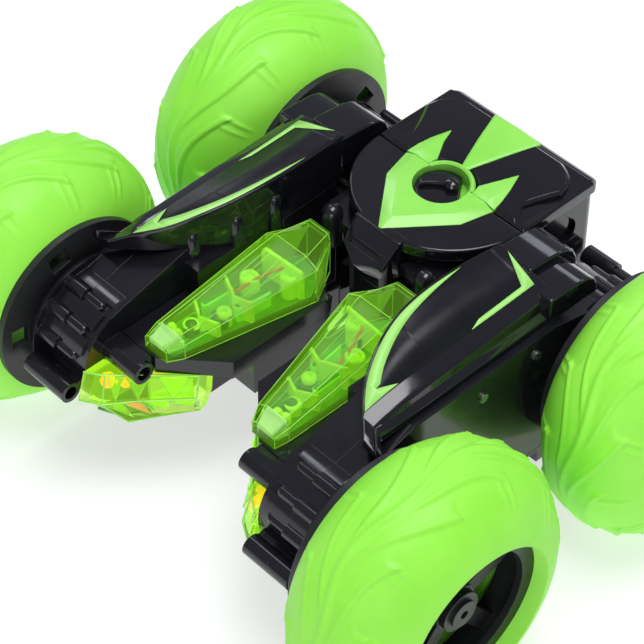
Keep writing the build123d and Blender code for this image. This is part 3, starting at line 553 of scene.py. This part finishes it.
def film_outlines():
    """Outlines of the dark film and its lime stripes, in plan."""
    edge = [inner_line(y, 0.7) for y in np.linspace(-37.4, 28.6, 34)]
    dark = edge + [(RIDGE_X - 0.3, 27.6), (RIDGE_X - 0.3, -37.0)]
    outer_curve = [inner_line(y, 1.0) for y in np.linspace(-36.2, 15.3, 26)]
    width_at = [(-36.2, 2.6), (-30.0, 4.6), (-24.0, 3.6), (-12.0, 2.7), (0.0, 1.7), (9.0, 0.8), (15.3, 0.0)]
    inner_curve = []
    for y in np.linspace(15.3, -29.9, 24):
        width = np.interp(y, [w[0] for w in width_at], [w[1] for w in width_at])
        inner_curve.append(inner_line(y, 1.0 + width))
    hook = [(43.9, -29.9), (46.6, -24.0), (46.8, -36.6)]
    front = outer_curve + inner_curve[1:-1] + hook
    rear = [(RIDGE_X - 0.4, 3.4), (45.5, 7.4), (45.3, 24.3), (34.5, 30.0), (44.0, 28.3), (47.0, 27.6)]
    return dark, front, rear


def add_arm_covers():
    """Glossy top covers of both arms, with their film, pegs and tail blocks."""
    dark, front, rear = film_outlines()
    films = (("film", dark, "film", 0.1), ("front_stripe", front, "stripe", 0.17),
             ("rear_stripe", rear, "stripe", 0.17))
    for side_name, side in SIDES.items():
        body = f"{side_name}_arm"
        piece(f"{side_name}_cover_hood", cover_shape(), "gloss", body, side, 24, 0.25, 2,
              [f"{side_name}_top_cover"])
        for label, block in zip(("inner", "outer"), cover_tail()):
            name = f"{side_name}_cover_{label}_block"
            piece(name, block, "gloss", body, side, 30, 0.6, 3, ())
        for number, (x, y, top) in enumerate(PEGS):
            height = top - PEG_FOOT_Z
            peg = turned([(0.0, 2.7), (height - 0.6, 1.7), (height, 1.1)], (x, y, PEG_FOOT_Z), "Z", 24)
            piece(f"{side_name}_cover_peg_{number}", peg, "gloss", body, side, 40)
        for label, outline, look, lift in films:
            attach(film_piece(f"{side_name}_cover_{label}", outline, look, lift, side), body)


# ---- pod top -----------------------------------------------------------------------------------
DISC_CENTRE_Y = 42.6
DISC_RADIUS = 28.9
DISC_BOTTOM_Z = 69.4
DISC_TOP_Z = 73.3
SPLIT = 0.15
KNOB_CENTRE = (0.0, 39.0)
POCKET_RADIUS = 8.3
LIP_RADIUS = 9.9


def lid_height(y):
    """Height of the raised panel of the lid along the car."""
    return float(np.interp(y, [42.6, 49.5, 60.2, 67.0, 76.0], [73.7, 74.8, 75.8, 76.1, 76.0]))


def pocket_arc(y, front, radius=POCKET_RADIUS, steps=20):
    """Edge of the knob pocket on one side of the line at y, from -x to +x."""
    rise = math.degrees(math.asin((y - KNOB_CENTRE[1]) / radius))
    if front:
        return arc(KNOB_CENTRE, radius, 180 - rise, 360 + rise, steps)
    return arc(KNOB_CENTRE, radius, 180 - rise, rise, steps)


def both_sides(half):
    """Outline over both sides from its left half."""
    return list(half) + [(-x, y) for x, y in reversed(half)]


def pod_cover_shape():
    """Front cover: a half disc with the pocket notch."""
    y = DISC_CENTRE_Y - SPLIT
    rim = arc((0, DISC_CENTRE_Y), DISC_RADIUS, -0.3, -179.7, 64)
    return plaque(rim + pocket_arc(y, True, POCKET_RADIUS + 0.8), DISC_BOTTOM_Z, DISC_TOP_Z, 0.55)


def lid_shape():
    """Battery lid: straight sides, rounded rear corners and a broad chamfer along the rear."""
    y = DISC_CENTRE_Y + SPLIT
    plan = [(DISC_RADIUS, y)] + arc((DISC_RADIUS - 3, 72.0), 3.0, 0, 90, 6)
    plan += arc((3 - DISC_RADIUS, 72.0), 3.0, 90, 180, 6) + [(-DISC_RADIUS, y)]
    plan = counter_clockwise(plan + pocket_arc(y, False, POCKET_RADIUS + 0.8))
    top = [(x, py - 2.0 * float(smooth_step(71.5, 74.5, py))) for x, py in inset(plan, 0.55)]
    bent = [(x, py - 1.4 * float(smooth_step(71.5, 74.5, py))) for x, py in plan]
    levels = [(DISC_BOTTOM_Z + 0.1, plan), (DISC_TOP_Z - 1.5, plan),
              (DISC_TOP_Z - 0.5, bent), (DISC_TOP_Z, top)]
    return lofted([[(x, py, z) for x, py in ring] for z, ring in levels])


def lid_panel_shape():
    """Raised panel of the lid with its cusped sides."""
    y = DISC_CENTRE_Y + SPLIT + 0.5
    half = [(25.2, y), (24.4, 45.2), (23.2, 47.3), (22.2, 49.5), (23.6, 53.4), (25.4, 57.2), (26.9, 60.2),
            (26.2, 63.4), (25.1, 65.6), (23.9, 67.0), (21.6, 68.5), (18.6, 69.8)]
    plan = counter_clockwise(both_sides(half) + pocket_arc(y, False, LIP_RADIUS + 0.3))
    rings = [[(x, py, DISC_TOP_Z - 0.3) for x, py in plan]]
    rings.append([(x, py, lid_height(py) - 0.75) for x, py in plan])
    rings.append([(x, py, lid_height(py)) for x, py in inset(plan, 0.9)])
    return lofted(rings)


def chamfered_inlay(plan, base, height, border):
    """Inlay with a sloping border; base(y) is the surface that it lies on."""
    plan = counter_clockwise(plan)
    rings = [[(x, y, base(y) - 0.5) for x, y in plan]]
    rings.append([(x, y, base(y) + 0.1) for x, y in plan])
    rings.append([(x, y, base(y) + height) for x, y in inset(plan, border)])
    return lofted(rings)


SHIELD_RISE = 1.5
SHIELD_OUTER = ((17.4, 42.45), (14.8, 31.85), (0.5, 14.5))
SHIELD_INNER = ((13.9, 42.45), (11.7, 33.3), (0.3, 19.5))
POCKET_WALL_Z = 69.6


def shield_shape():
    """Shield ahead of the split line: flat middle round the pocket, broad sloping border, open split edge."""
    outer, inner = both_sides(SHIELD_OUTER), both_sides(SHIELD_INNER)
    hole = list(reversed(pocket_arc(SHIELD_OUTER[0][1], True, POCKET_RADIUS, 40)))
    rows = [[(x, y, DISC_TOP_Z - 0.5) for x, y in outer]]
    rows.append([(x, y, DISC_TOP_Z + 0.05) for x, y in outer])
    rows.append([(x, y, DISC_TOP_Z + SHIELD_RISE) for x, y in inner])
    rows.append([(x, y, DISC_TOP_Z + SHIELD_RISE) for x, y in hole])
    rows.append([(x, y, POCKET_WALL_Z) for x, y in hole])
    points = [point for row in rows for point in row]
    starts = [sum(len(row) for row in rows[:n]) for n in range(5)]
    faces = []
    for upper, lower in ((0, 1), (1, 2), (3, 4)):
        a, b = starts[upper], starts[lower]
        faces += [(a + i, a + i + 1, b + i + 1, b + i) for i in range(len(rows[upper]) - 1)]
    middle_ring = list(range(starts[2], starts[3]))
    hole_ring = list(range(starts[3], starts[4]))
    faces.append(tuple(middle_ring + hole_ring[::-1]))
    faces.append(tuple(starts))
    faces.append(tuple(start + len(row) - 1 for start, row in zip(starts, rows)))
    return points, faces


def lip_shape():
    """Raised lip of the pocket behind the split line, with its wall down into the pocket."""
    rise = math.degrees(math.asin((DISC_CENTRE_Y + SPLIT - KNOB_CENTRE[1]) / 9.2))
    profile = ((POCKET_RADIUS, 0.9), (8.9, 1.35), (9.4, 1.25), (LIP_RADIUS, 0.5), (LIP_RADIUS, -0.6))
    rings = [[(x, y, POCKET_WALL_Z) for x, y in arc(KNOB_CENTRE, POCKET_RADIUS, 180 - rise, rise, 40)]]
    for radius, up in profile:
        ring = arc(KNOB_CENTRE, radius, 180 - rise, rise, 40)
        rings.append([(x, y, lid_height(y) - 0.3 + up) for x, y in ring])
    across = [[ring[i] for ring in rings] for i in range(len(rings[0]))]
    return lofted(across)


def horn_shape(rear_y):
    """One horn of the shield behind the split line, ridged from the border's inner corner to the tip."""
    outer = [(17.4, rear_y), (16.9, 46.6), (15.7, 51.2)]
    ridge = [(14.1, rear_y), (14.0, 46.2), (13.9, 51.0)]
    inner = [(8.9, rear_y), (8.2, 45.9), (11.4, 51.6)]
    tip = (13.5, 57.1, lid_height(57.1) + 0.1)
    rows = []
    sunk = DISC_TOP_Z - 0.4
    for (ox, oy), (rx, ry), (ix, iy) in zip(outer, ridge, inner):
        top = [(ox, oy, lid_height(oy) + 0.1), (rx, ry, lid_height(ry) + 0.85),
               (ix, iy, lid_height(iy) + 0.7)]
        rows.append([(ox, oy, sunk)] + top + [(ix, iy, sunk)])
    rows.append([(*tip[:2], sunk), tip, tip, tip, (*tip[:2], sunk)])
    return lofted(rows)


def add_pod_top():
    """Cover, lid, green inlays, pocket, knob and tongue."""
    piece("pod_disc", pod_cover_shape(), "gloss", "pod", 1, 30, 0.25, 2, ["pod_front_cover"])
    piece("emblem_shield", shield_shape(), "lime", "pod", 1, 12, 0.12, 2, ["cover_emblem"])
    well = [(68.4, 8.7), (69.6, 8.7), (69.75, 8.2), (69.8, 3.0), (69.8, 0.4)]
    piece("pocket_floor", turned(well, (*KNOB_CENTRE, 0), "Z", 64), "lime", "pod", 1, 30)
    piece("lid_plate", lid_shape(), "gloss", "battery_lid", 1, 26, 0.2, 2, ["battery_lid"])
    piece("lid_panel", lid_panel_shape(), "gloss", "battery_lid", 1, 26, 0.2, 2)
    horn = horn_shape(DISC_CENTRE_Y + SPLIT)
    piece("emblem_horn_left", horn, "lime", "battery_lid", 1, 12, 0.12, 2, ["lid_emblem"])
    piece("emblem_horn_right", horn, "lime", "battery_lid", -1, 12, 0.12)
    half_fan = [(1.0, 48.0), (3.1, 53.6), (5.3, 59.6), (9.2, 70.75), (4.6, 71.2)]
    fan = half_fan + [(0.0, 71.3)] + [(-x, y) for x, y in reversed(half_fan)]
    piece("emblem_fan", chamfered_inlay(fan, lid_height, 0.5, 0.7), "lime", "battery_lid", 1, 20)
    piece("pocket_lip_rear", lip_shape(), "lime", "battery_lid", 1, 35)
    for side_name, side in SIDES.items():
        for number, x in enumerate((27.0, 27.9)):
            path = [(x, 44.6, DISC_TOP_Z), (x, 52.0, DISC_TOP_Z), (x + 0.1, 58.6, DISC_TOP_Z)]
            piece(f"lid_groove_{side_name}_{number}", bar(path, 0.16), "satin", "battery_lid", side, 60)
    add_knob()
    add_tongue()


KNOB_TURN = math.radians(38)
KNOB_DISC_Z = (70.6, 73.4)
GRIP_Z = (73.2, 75.2)


def on_knob(shape):
    """A shape drawn round the origin, turned and moved onto the knob's axis."""
    c, s = math.cos(KNOB_TURN), math.sin(KNOB_TURN)
    points = [(x * c - y * s + KNOB_CENTRE[0], x * s + y * c + KNOB_CENTRE[1], z) for x, y, z in shape[0]]
    return points, shape[1]


def add_knob():
    """Twist knob: D-shaped disc and a curved finger bar with a round end."""
    disc = on_knob(plaque(arc((0, 0), 7.7, 42, 318, 44), *KNOB_DISC_Z, 0.4))
    piece("knob_disc", disc, "gloss", "lock_knob", 1, 30, 0.2, 2, ["lock_knob"])
    bend = [(-6.2 + 0.62 * i, 1.1 * math.sin(math.pi * i / 16)) for i in range(17)]
    upper = [(x, y + 1.35) for x, y in bend]
    lower = [(x, y - 1.35) for x, y in reversed(bend)]
    grip = counter_clockwise(upper + arc((3.6, 0.0), 1.9, 62, -62, 10) + lower)
    piece("knob_grip", on_knob(plaque(grip, *GRIP_Z, 0.5)), "gloss", "lock_knob", 1, 30, 0.25, 2)
    end_profile = [(73.0, 2.3), (75.0, 2.3), (76.0, 1.7), (76.4, 0.9), (76.5, 0.2)]
    end = on_knob(turned(end_profile, (3.2, 0.0, 0.0), "Z", 28))
    piece("knob_grip_end", end, "gloss", "lock_knob", 1, 30)


def add_tongue():
    """Sloping tongue ahead of the cover: bordered panel, pointed front facet and cheeks."""
    upper = [(8.8, 17.0, 73.35), (8.8, 13.9, 73.35), (8.0, 8.2, 67.0), (0.0, 4.1, 65.9),
             (-8.0, 8.2, 67.0), (-8.8, 13.9, 73.35), (-8.8, 17.0, 73.35)]
    lower = [(8.3, 17.0, 60.0), (8.3, 14.0, 60.0), (5.8, 9.6, 60.0), (0.0, 8.2, 60.0),
             (-5.8, 9.6, 60.0), (-8.3, 14.0, 60.0), (-8.3, 17.0, 60.0)]
    count = len(upper)
    faces = [(0, 1, 5, 6), (1, 2, 4, 5), (2, 3, 4), tuple(range(count, 2 * count))]
    faces += [(i, (i + 1) % count, (i + 1) % count + count, i + count) for i in range(count)]
    piece("tongue", (upper + lower, faces), "gloss", "pod", 1, 12, 0.25, 2)
    border = [(8.5, 13.7, 73.2), (7.7, 8.5, 67.35), (-7.7, 8.5, 67.35), (-8.5, 13.7, 73.2), (8.5, 13.7, 73.2)]
    piece("tongue_border", bar(border, 0.22), "gloss", "pod", 1, 60)


# ---- signal lens and headlamp ------------------------------------------------------------------
LENS_ROWS = (
    # y, inner x, inner top x, outer top x, outer x, shoulder z, top z
    (-50.2, 17.7, 19.3, 25.3, 26.5, 55.6, 56.6),
    (-45.6, 15.2, 17.8, 25.2, 27.3, 57.0, 58.6),
    (-3.4, 6.4, 10.8, 23.6, 27.4, 64.0, 66.3),
    (7.6, 12.8, 13.8, 21.6, 22.4, 63.6, 66.0),
)
LENS_FLOOR_Z = 51.5
LENS_BLOCKS_Z = 53.0         # foot of everything moulded inside the lens
SLOT_ENDS = (((15.2, -9.2), (13.9, -18.6)), ((20.4, -9.1), (20.1, -18.9)))      # rear, then front
SLOT_HALF_WIDTH = 0.9
LENS_BOSSES = ((20.8, -38.2, 2.5, 56.6), (21.4, -15.6, 2.9, 59.4), (17.4, -29.0, 2.2, 57.6),
               (13.4, -8.0, 2.6, 60.6))                                         # x, y, radius, top z
LENS_SLOTS = ((15.2, -20.5, 12.0, 7.0), (22.6, -26.8, 11.0, 2.0))               # x, y, length, lean
LENS_LEDGES = (
    # four corners in plan, then the top z
    ((9.2, -6.0), (24.6, -6.8), (24.6, -8.0), (9.6, -7.4), 63.2),
    ((12.0, -22.6), (17.6, -24.6), (17.6, -25.6), (12.2, -23.8), 60.6),
    ((17.6, -24.6), (24.9, -21.2), (24.9, -22.2), (17.6, -25.6), 61.2),
    ((14.2, -33.2), (20.0, -35.4), (20.0, -36.4), (14.5, -34.4), 58.2),
    ((20.0, -35.4), (25.2, -32.4), (25.2, -33.4), (20.0, -36.4), 59.0),
)


def slot_loop(rear, front):
    """Outline of a long slot with round ends between two points."""
    over = (Vector(front) - Vector(rear)).orthogonal().normalized()
    lean = math.degrees(math.atan2(over.y, over.x))
    behind = arc(rear, SLOT_HALF_WIDTH, lean, lean + 180, 8)
    ahead = arc(front, SLOT_HALF_WIDTH, lean + 180, lean + 360, 8)
    if (Vector(rear) - Vector(front)).dot(Vector(behind[4]) - Vector(rear)) < 0:
        behind = arc(rear, SLOT_HALF_WIDTH, lean, lean - 180, 8)
        ahead = arc(front, SLOT_HALF_WIDTH, lean + 180, lean, 8)
    return behind + ahead + behind[:1]


def on_lens_top(x, y):
    """A point just above the sloping top face of the lens."""
    return x, y, 58.8 + 0.1825 * (y + 45.6)


def lens_highlight_lines():
    """Painted highlight lines along the edges of the signal lens."""
    lines = []
    for column, level in ((1, 5), (2, 6), (3, 6), (4, 5)):
        lines.append([(row[column], row[0], row[level]) for row in LENS_ROWS])
    foot = LENS_FLOOR_Z + 0.4
    for y, inner, inner_top, outer_top, outer, shoulder, top in LENS_ROWS:
        lines.append([(inner, y, foot), (inner, y, shoulder), (inner_top, y, top),
                      (outer_top, y, top), (outer, y, shoulder), (outer, y, foot)])
    for rear, front in SLOT_ENDS:
        lines.append([on_lens_top(x, y) for x, y in slot_loop(rear, front)])
    for column in (1, 4):
        lines.append([(row[column], row[0], LENS_FLOOR_Z + 0.3) for row in LENS_ROWS])
    return lines


def lens_boss(radius, top, centre):
    """Hollow round boss standing inside the lens."""
    profile = [(LENS_BLOCKS_Z, radius), (top - 0.5, radius), (top, radius - 0.4), (top, radius - 1.1),
               (top - 1.2, radius - 1.3), (top - 1.2, 0.2)]
    return turned(profile, centre, "Z", 28)


def lens_slot_plan(x, y, length, lean):
    """Plan of a long rounded block that leans away from the car's length."""
    a = math.radians(90 - lean)
    along, over = (-math.cos(a), math.sin(a)), 1.15
    corners = ((-length / 2, -1), (-length / 2, 1), (length / 2, 1), (length / 2, -1))
    return rounded([(x + along[0] * t + over * s, y + along[1] * t) for t, s in corners], 1.1, 4)


def lens_inner_blocks():
    """Ledges, slots and bosses moulded inside the lens: (shape, look)."""
    floor = [(17.4, -48.4), (25.6, -48.6), (26.0, -4.0), (21.4, 5.4), (13.8, 5.4), (8.4, -4.2)]
    parts = [(plaque(floor, LENS_BLOCKS_Z - 0.2, LENS_BLOCKS_Z + 0.1), "floor")]
    for x, y, radius, top in LENS_BOSSES:
        parts.append((lens_boss(radius, top, (x, y, 0.0)), "inner"))
    for x, y, length, lean in LENS_SLOTS:
        plan = lens_slot_plan(x, y, length, lean)
        # Slot blocks in the glowing edge material: painted glow.
        parts.append((plaque(plan, LENS_BLOCKS_Z, 58.2, 0.3), "edge"))
        parts.append((plaque(inset(counter_clockwise(plan), 0.45), 58.0, 58.5), "floor"))
    for *corners, top in LENS_LEDGES:
        parts.append((plaque(corners, LENS_BLOCKS_Z, top, 0.2), "inner"))
    cap = [(19.2, -48.4), (25.0, -48.6), (25.9, -45.0), (23.4, -42.4), (17.6, -43.4)]
    parts.append((plaque(cap, LENS_BLOCKS_Z, 56.2, 1.0), "frost"))
    veil = [[(19.4, -49.7, 54.6), (25.2, -49.7, 54.6), (25.6, -44.6, 56.6), (17.7, -44.6, 56.6)]]
    veil.append([(x, y, z + 1.1) for x, y, z in veil[0]])
    parts.append((lofted(veil), "frost"))
    lamp = [(LENS_BLOCKS_Z, 1.5), (56.6, 1.5), (57.4, 1.0), (57.6, 0.2)]
    for x, y in ((20.6, -43.6), (23.4, -43.2)):
        parts.append((turned(lamp, (x, y, 0.0), "Z", 20), "inner"))
    wire = [(20.4, -22.0, 57.9), (19.2, -15.0, 59.2), (17.0, -9.0, 60.4), (14.6, -5.0, 60.9)]
    parts.append((bar(wire, 0.5, 8), "wire"))
    return parts


HEADLAMP_OUTLINES = (
    # z, then the visible outline from the arm round the front
    (26.5, ((35.6, -60.0), (26.5, -58.5), (21.5, -49.5), (16.0, -40.5))),
    (36.0, ((35.6, -68.6), (29.5, -65.0), (23.6, -56.6), (13.0, -44.2))),
    (45.5, ((35.6, -66.0), (30.5, -62.5), (25.0, -56.5), (12.0, -43.4))),
)


def headlamp_point(level, column, out=0.0):
    """A point on the headlamp: level 0..2 from the bottom, column 0..3 along the outline, pushed outwards."""
    rows = [[Vector((x, y, z)) for x, y in outline] for z, outline in HEADLAMP_OUTLINES]
    low, along = min(int(level), 1), min(int(column), 2)
    v, u = level - low, column - along
    near = rows[low][along].lerp(rows[low][along + 1], u)
    far = rows[low + 1][along].lerp(rows[low + 1][along + 1], u)
    face = (rows[low][along + 1] - rows[low][along]).cross(Vector((0, 0, 1))).normalized()
    if face.y > 0:
        face = -face
    return near.lerp(far, v) + face * out


def headlamp_highlight_lines():
    """Painted highlight lines along the headlamp's edges."""
    rows = [bar([headlamp_point(row, column) for column in range(4)], 0.32) for row in range(3)]
    columns = [bar([headlamp_point(row, column) for row in range(3)], 0.3) for column in (1, 2, 3)]
    return [(line, "edge") for line in rows + columns]


def headlamp_wedge(first):
    """V-shaped prism below the upper edge of the headlamp, with a painted highlight line along its rim."""
    left, right = headlamp_point(1.94, first, 0.05), headlamp_point(1.94, first + 0.5, 0.05)
    back = headlamp_point(1.94, first + 0.25, 1.1)
    tip, keel = headlamp_point(1.16, first + 0.24, 1.0), headlamp_point(1.16, first + 0.24, -0.4)
    points = [tuple(p) for p in (left, back, right, tip, keel)]
    faces = [(0, 1, 3), (1, 2, 3), (0, 3, 4), (3, 2, 4), (0, 4, 2), (0, 2, 1)]
    return [((points, faces), "amber"), (bar([left, tip, right], 0.2), "edge")]


def headlamp_facet(first, look):
    """Three-sided facet on the lower half of the headlamp, with a painted highlight line along its rim."""
    base = [headlamp_point(0.92, first, 0.02), headlamp_point(0.92, first + 0.45, 0.02),
            headlamp_point(0.14, first + 0.22, 0.02)]
    peak = headlamp_point(0.62, first + 0.22, 0.9)
    inner = headlamp_point(0.62, first + 0.22, -0.4)
    points = [tuple(p) for p in base + [peak, inner]]
    faces = [(0, 1, 3), (1, 2, 3), (2, 0, 3), (1, 0, 4), (2, 1, 4), (0, 2, 4)]
    return [((points, faces), look), (bar([base[0], base[2], base[1]], 0.16), "edge")]


def headlamp_parts():
    """Prisms, painted highlight lines, a facet with painted glow, and the lamps of the headlamp: (shape,
    look).
    """
    parts = headlamp_highlight_lines()
    for first in (1.12, 1.74, 2.36):
        parts += headlamp_wedge(first)
    # The facet in the glow look carries the painted orange glow.
    for first, look in ((1.05, "amber"), (1.55, "glow"), (2.05, "amber"), (2.55, "amber")):
        parts += headlamp_facet(first, look)
    for x, y, z, radius in ((31.6, -60.6, 41.4, 2.3), (28.4, -57.0, 40.6, 1.7)):
        side = 0.7 * radius
        profile = [(-radius, 0.3), (-side, side), (0.0, radius), (side, side), (radius, 0.3)]
        parts.append((turned(profile, (x, y, z), "Y", 24), "led"))
    back = [(16.4, -42.4), (24.6, -53.8), (29.6, -60.6), (34.6, -63.0), (34.6, -41.0), (16.4, -41.0)]
    parts.append((plaque(back, 28.6, 29.4), "floor"))
    fin = [(15.6, -42.6), (24.0, -52.6), (22.6, -52.8), (14.8, -43.6)]
    parts.append((plaque(fin, 29.0, 43.6, 0.2), "inner"))
    return parts


def add_lamps():
    """Details inside and on the signal lenses and headlamps of both arms."""
    for side_name, side in SIDES.items():
        body = f"{side_name}_arm"
        for number, line in enumerate(lens_highlight_lines()):
            # Glowing bars along the lens edges: painted highlight lines.
            piece(f"{side_name}_lens_highlight_bar_{number}", bar(line, 0.13), "edge", body, side, 60)
        for number, (shape, look) in enumerate(lens_inner_blocks()):
            piece(f"{side_name}_lens_inner_{number}", shape, look, body, side, 30)
        for number, (shape, look) in enumerate(headlamp_parts()):
            piece(f"{side_name}_headlamp_part_{number}", shape, look, body, side, 20)


# ---- finishes of the CAD nodes -----------------------------------------------------------------
def finish_cad_nodes():
    """Give every CAD node the look of its material slot."""
    for row in frame["record"]["subparts"]:
        node = frame["nodes"][row["node"]]
        look = SLOT_LOOK[row["material_slot"]]
        if row["node"].endswith("_rim") or row["node"].endswith("hub_cap"):
            look = "satin"
        node.data.materials.clear()
        node.data.materials.append(LOOK[look])
        node.data.shade_smooth()
        node.data.set_sharp_from_angle(angle=math.radians(28))


# ---- floor, light and camera -------------------------------------------------------------------
def add_floor():
    """Plain pale floor."""
    size = 4.0
    mesh = bpy.data.meshes.new("floor")
    corners = [(-size, -size, 0), (size, -size, 0), (size, size, 0), (-size, size, 0)]
    mesh.from_pydata(corners, [], [(0, 1, 2, 3)])
    made, _, shader = material("pale_floor")
    shader.inputs["Base Color"].default_value = (0.5, 0.5, 0.5, 1)
    shader.inputs["Roughness"].default_value = 0.85
    shader.inputs["Emission Color"].default_value = (1, 1, 1, 1)
    shader.inputs["Emission Strength"].default_value = 0.62
    mesh.materials.append(made)
    floor = bpy.data.objects.new("floor", mesh)
    floor.location.z = -0.0002
    bpy.context.scene.collection.objects.link(floor)


def add_softbox(name, place, aim, size, power, tint=(1, 1, 1)):
    """A rectangular soft light."""
    data = bpy.data.lights.new(name, "AREA")
    data.shape = "RECTANGLE"
    data.size, data.size_y = size
    data.energy = power
    data.color = tint
    lamp = bpy.data.objects.new(name, data)
    lamp.location = place
    lamp.rotation_mode = "QUATERNION"
    lamp.rotation_quaternion = (Vector(aim) - Vector(place)).to_track_quat("-Z", "Y")
    bpy.context.scene.collection.objects.link(lamp)


def add_light():
    """Pale surround with four soft boxes."""
    world = bpy.data.worlds.new("surround")
    world.use_nodes = True
    shade = world.node_tree.nodes["Background"]
    shade.inputs["Color"].default_value = (0.84, 0.86, 1.0, 1)
    shade.inputs["Strength"].default_value = 0.28
    bpy.context.scene.world = world
    centre = (0, 0, 0.05)
    add_softbox("key", (0.15, 0.02, 1.05), centre, (0.7, 0.5), 8.0, (0.98, 0.98, 1.0))
    add_softbox("left_strip", (-0.75, 0.25, 0.75), centre, (0.1, 0.9), 1.5, (0.86, 0.88, 1.0))
    add_softbox("rear_strip", (-0.1, 0.9, 0.6), centre, (0.8, 0.12), 0.8, (0.86, 0.88, 1.0))
    add_softbox("front_fill", (0.7, -0.85, 0.35), centre, (0.6, 0.35), 2.0)
    bpy.context.scene.view_settings.view_transform = "Standard"
    bpy.context.scene.view_settings.look = "None"


CAMERA_AZIMUTH = 46.596
CAMERA_ELEVATION = 45.406
CAMERA_DISTANCE = 0.718444
CAMERA_AIM = (-0.006111, -0.001866, 0.042502)
CAMERA_LENS = 139.75


def add_camera():
    """Camera at the viewing angle of the reference."""
    a, e = math.radians(CAMERA_AZIMUTH), math.radians(CAMERA_ELEVATION)
    back = Vector((math.sin(a) * math.cos(e), -math.cos(a) * math.cos(e), math.sin(e)))
    data = bpy.data.cameras.new("camera")
    data.sensor_width = 36.0
    data.lens = CAMERA_LENS
    camera = bpy.data.objects.new("camera", data)
    camera.location = Vector(CAMERA_AIM) + back * CAMERA_DISTANCE
    camera.rotation_mode = "QUATERNION"
    camera.rotation_quaternion = (-back).to_track_quat("-Z", "Y")
    bpy.context.scene.collection.objects.link(camera)
    bpy.context.scene.camera = camera


finish_cad_nodes()
add_wheels()
add_arm_covers()
add_pod_top()
add_lamps()
add_floor()
add_light()
add_camera()
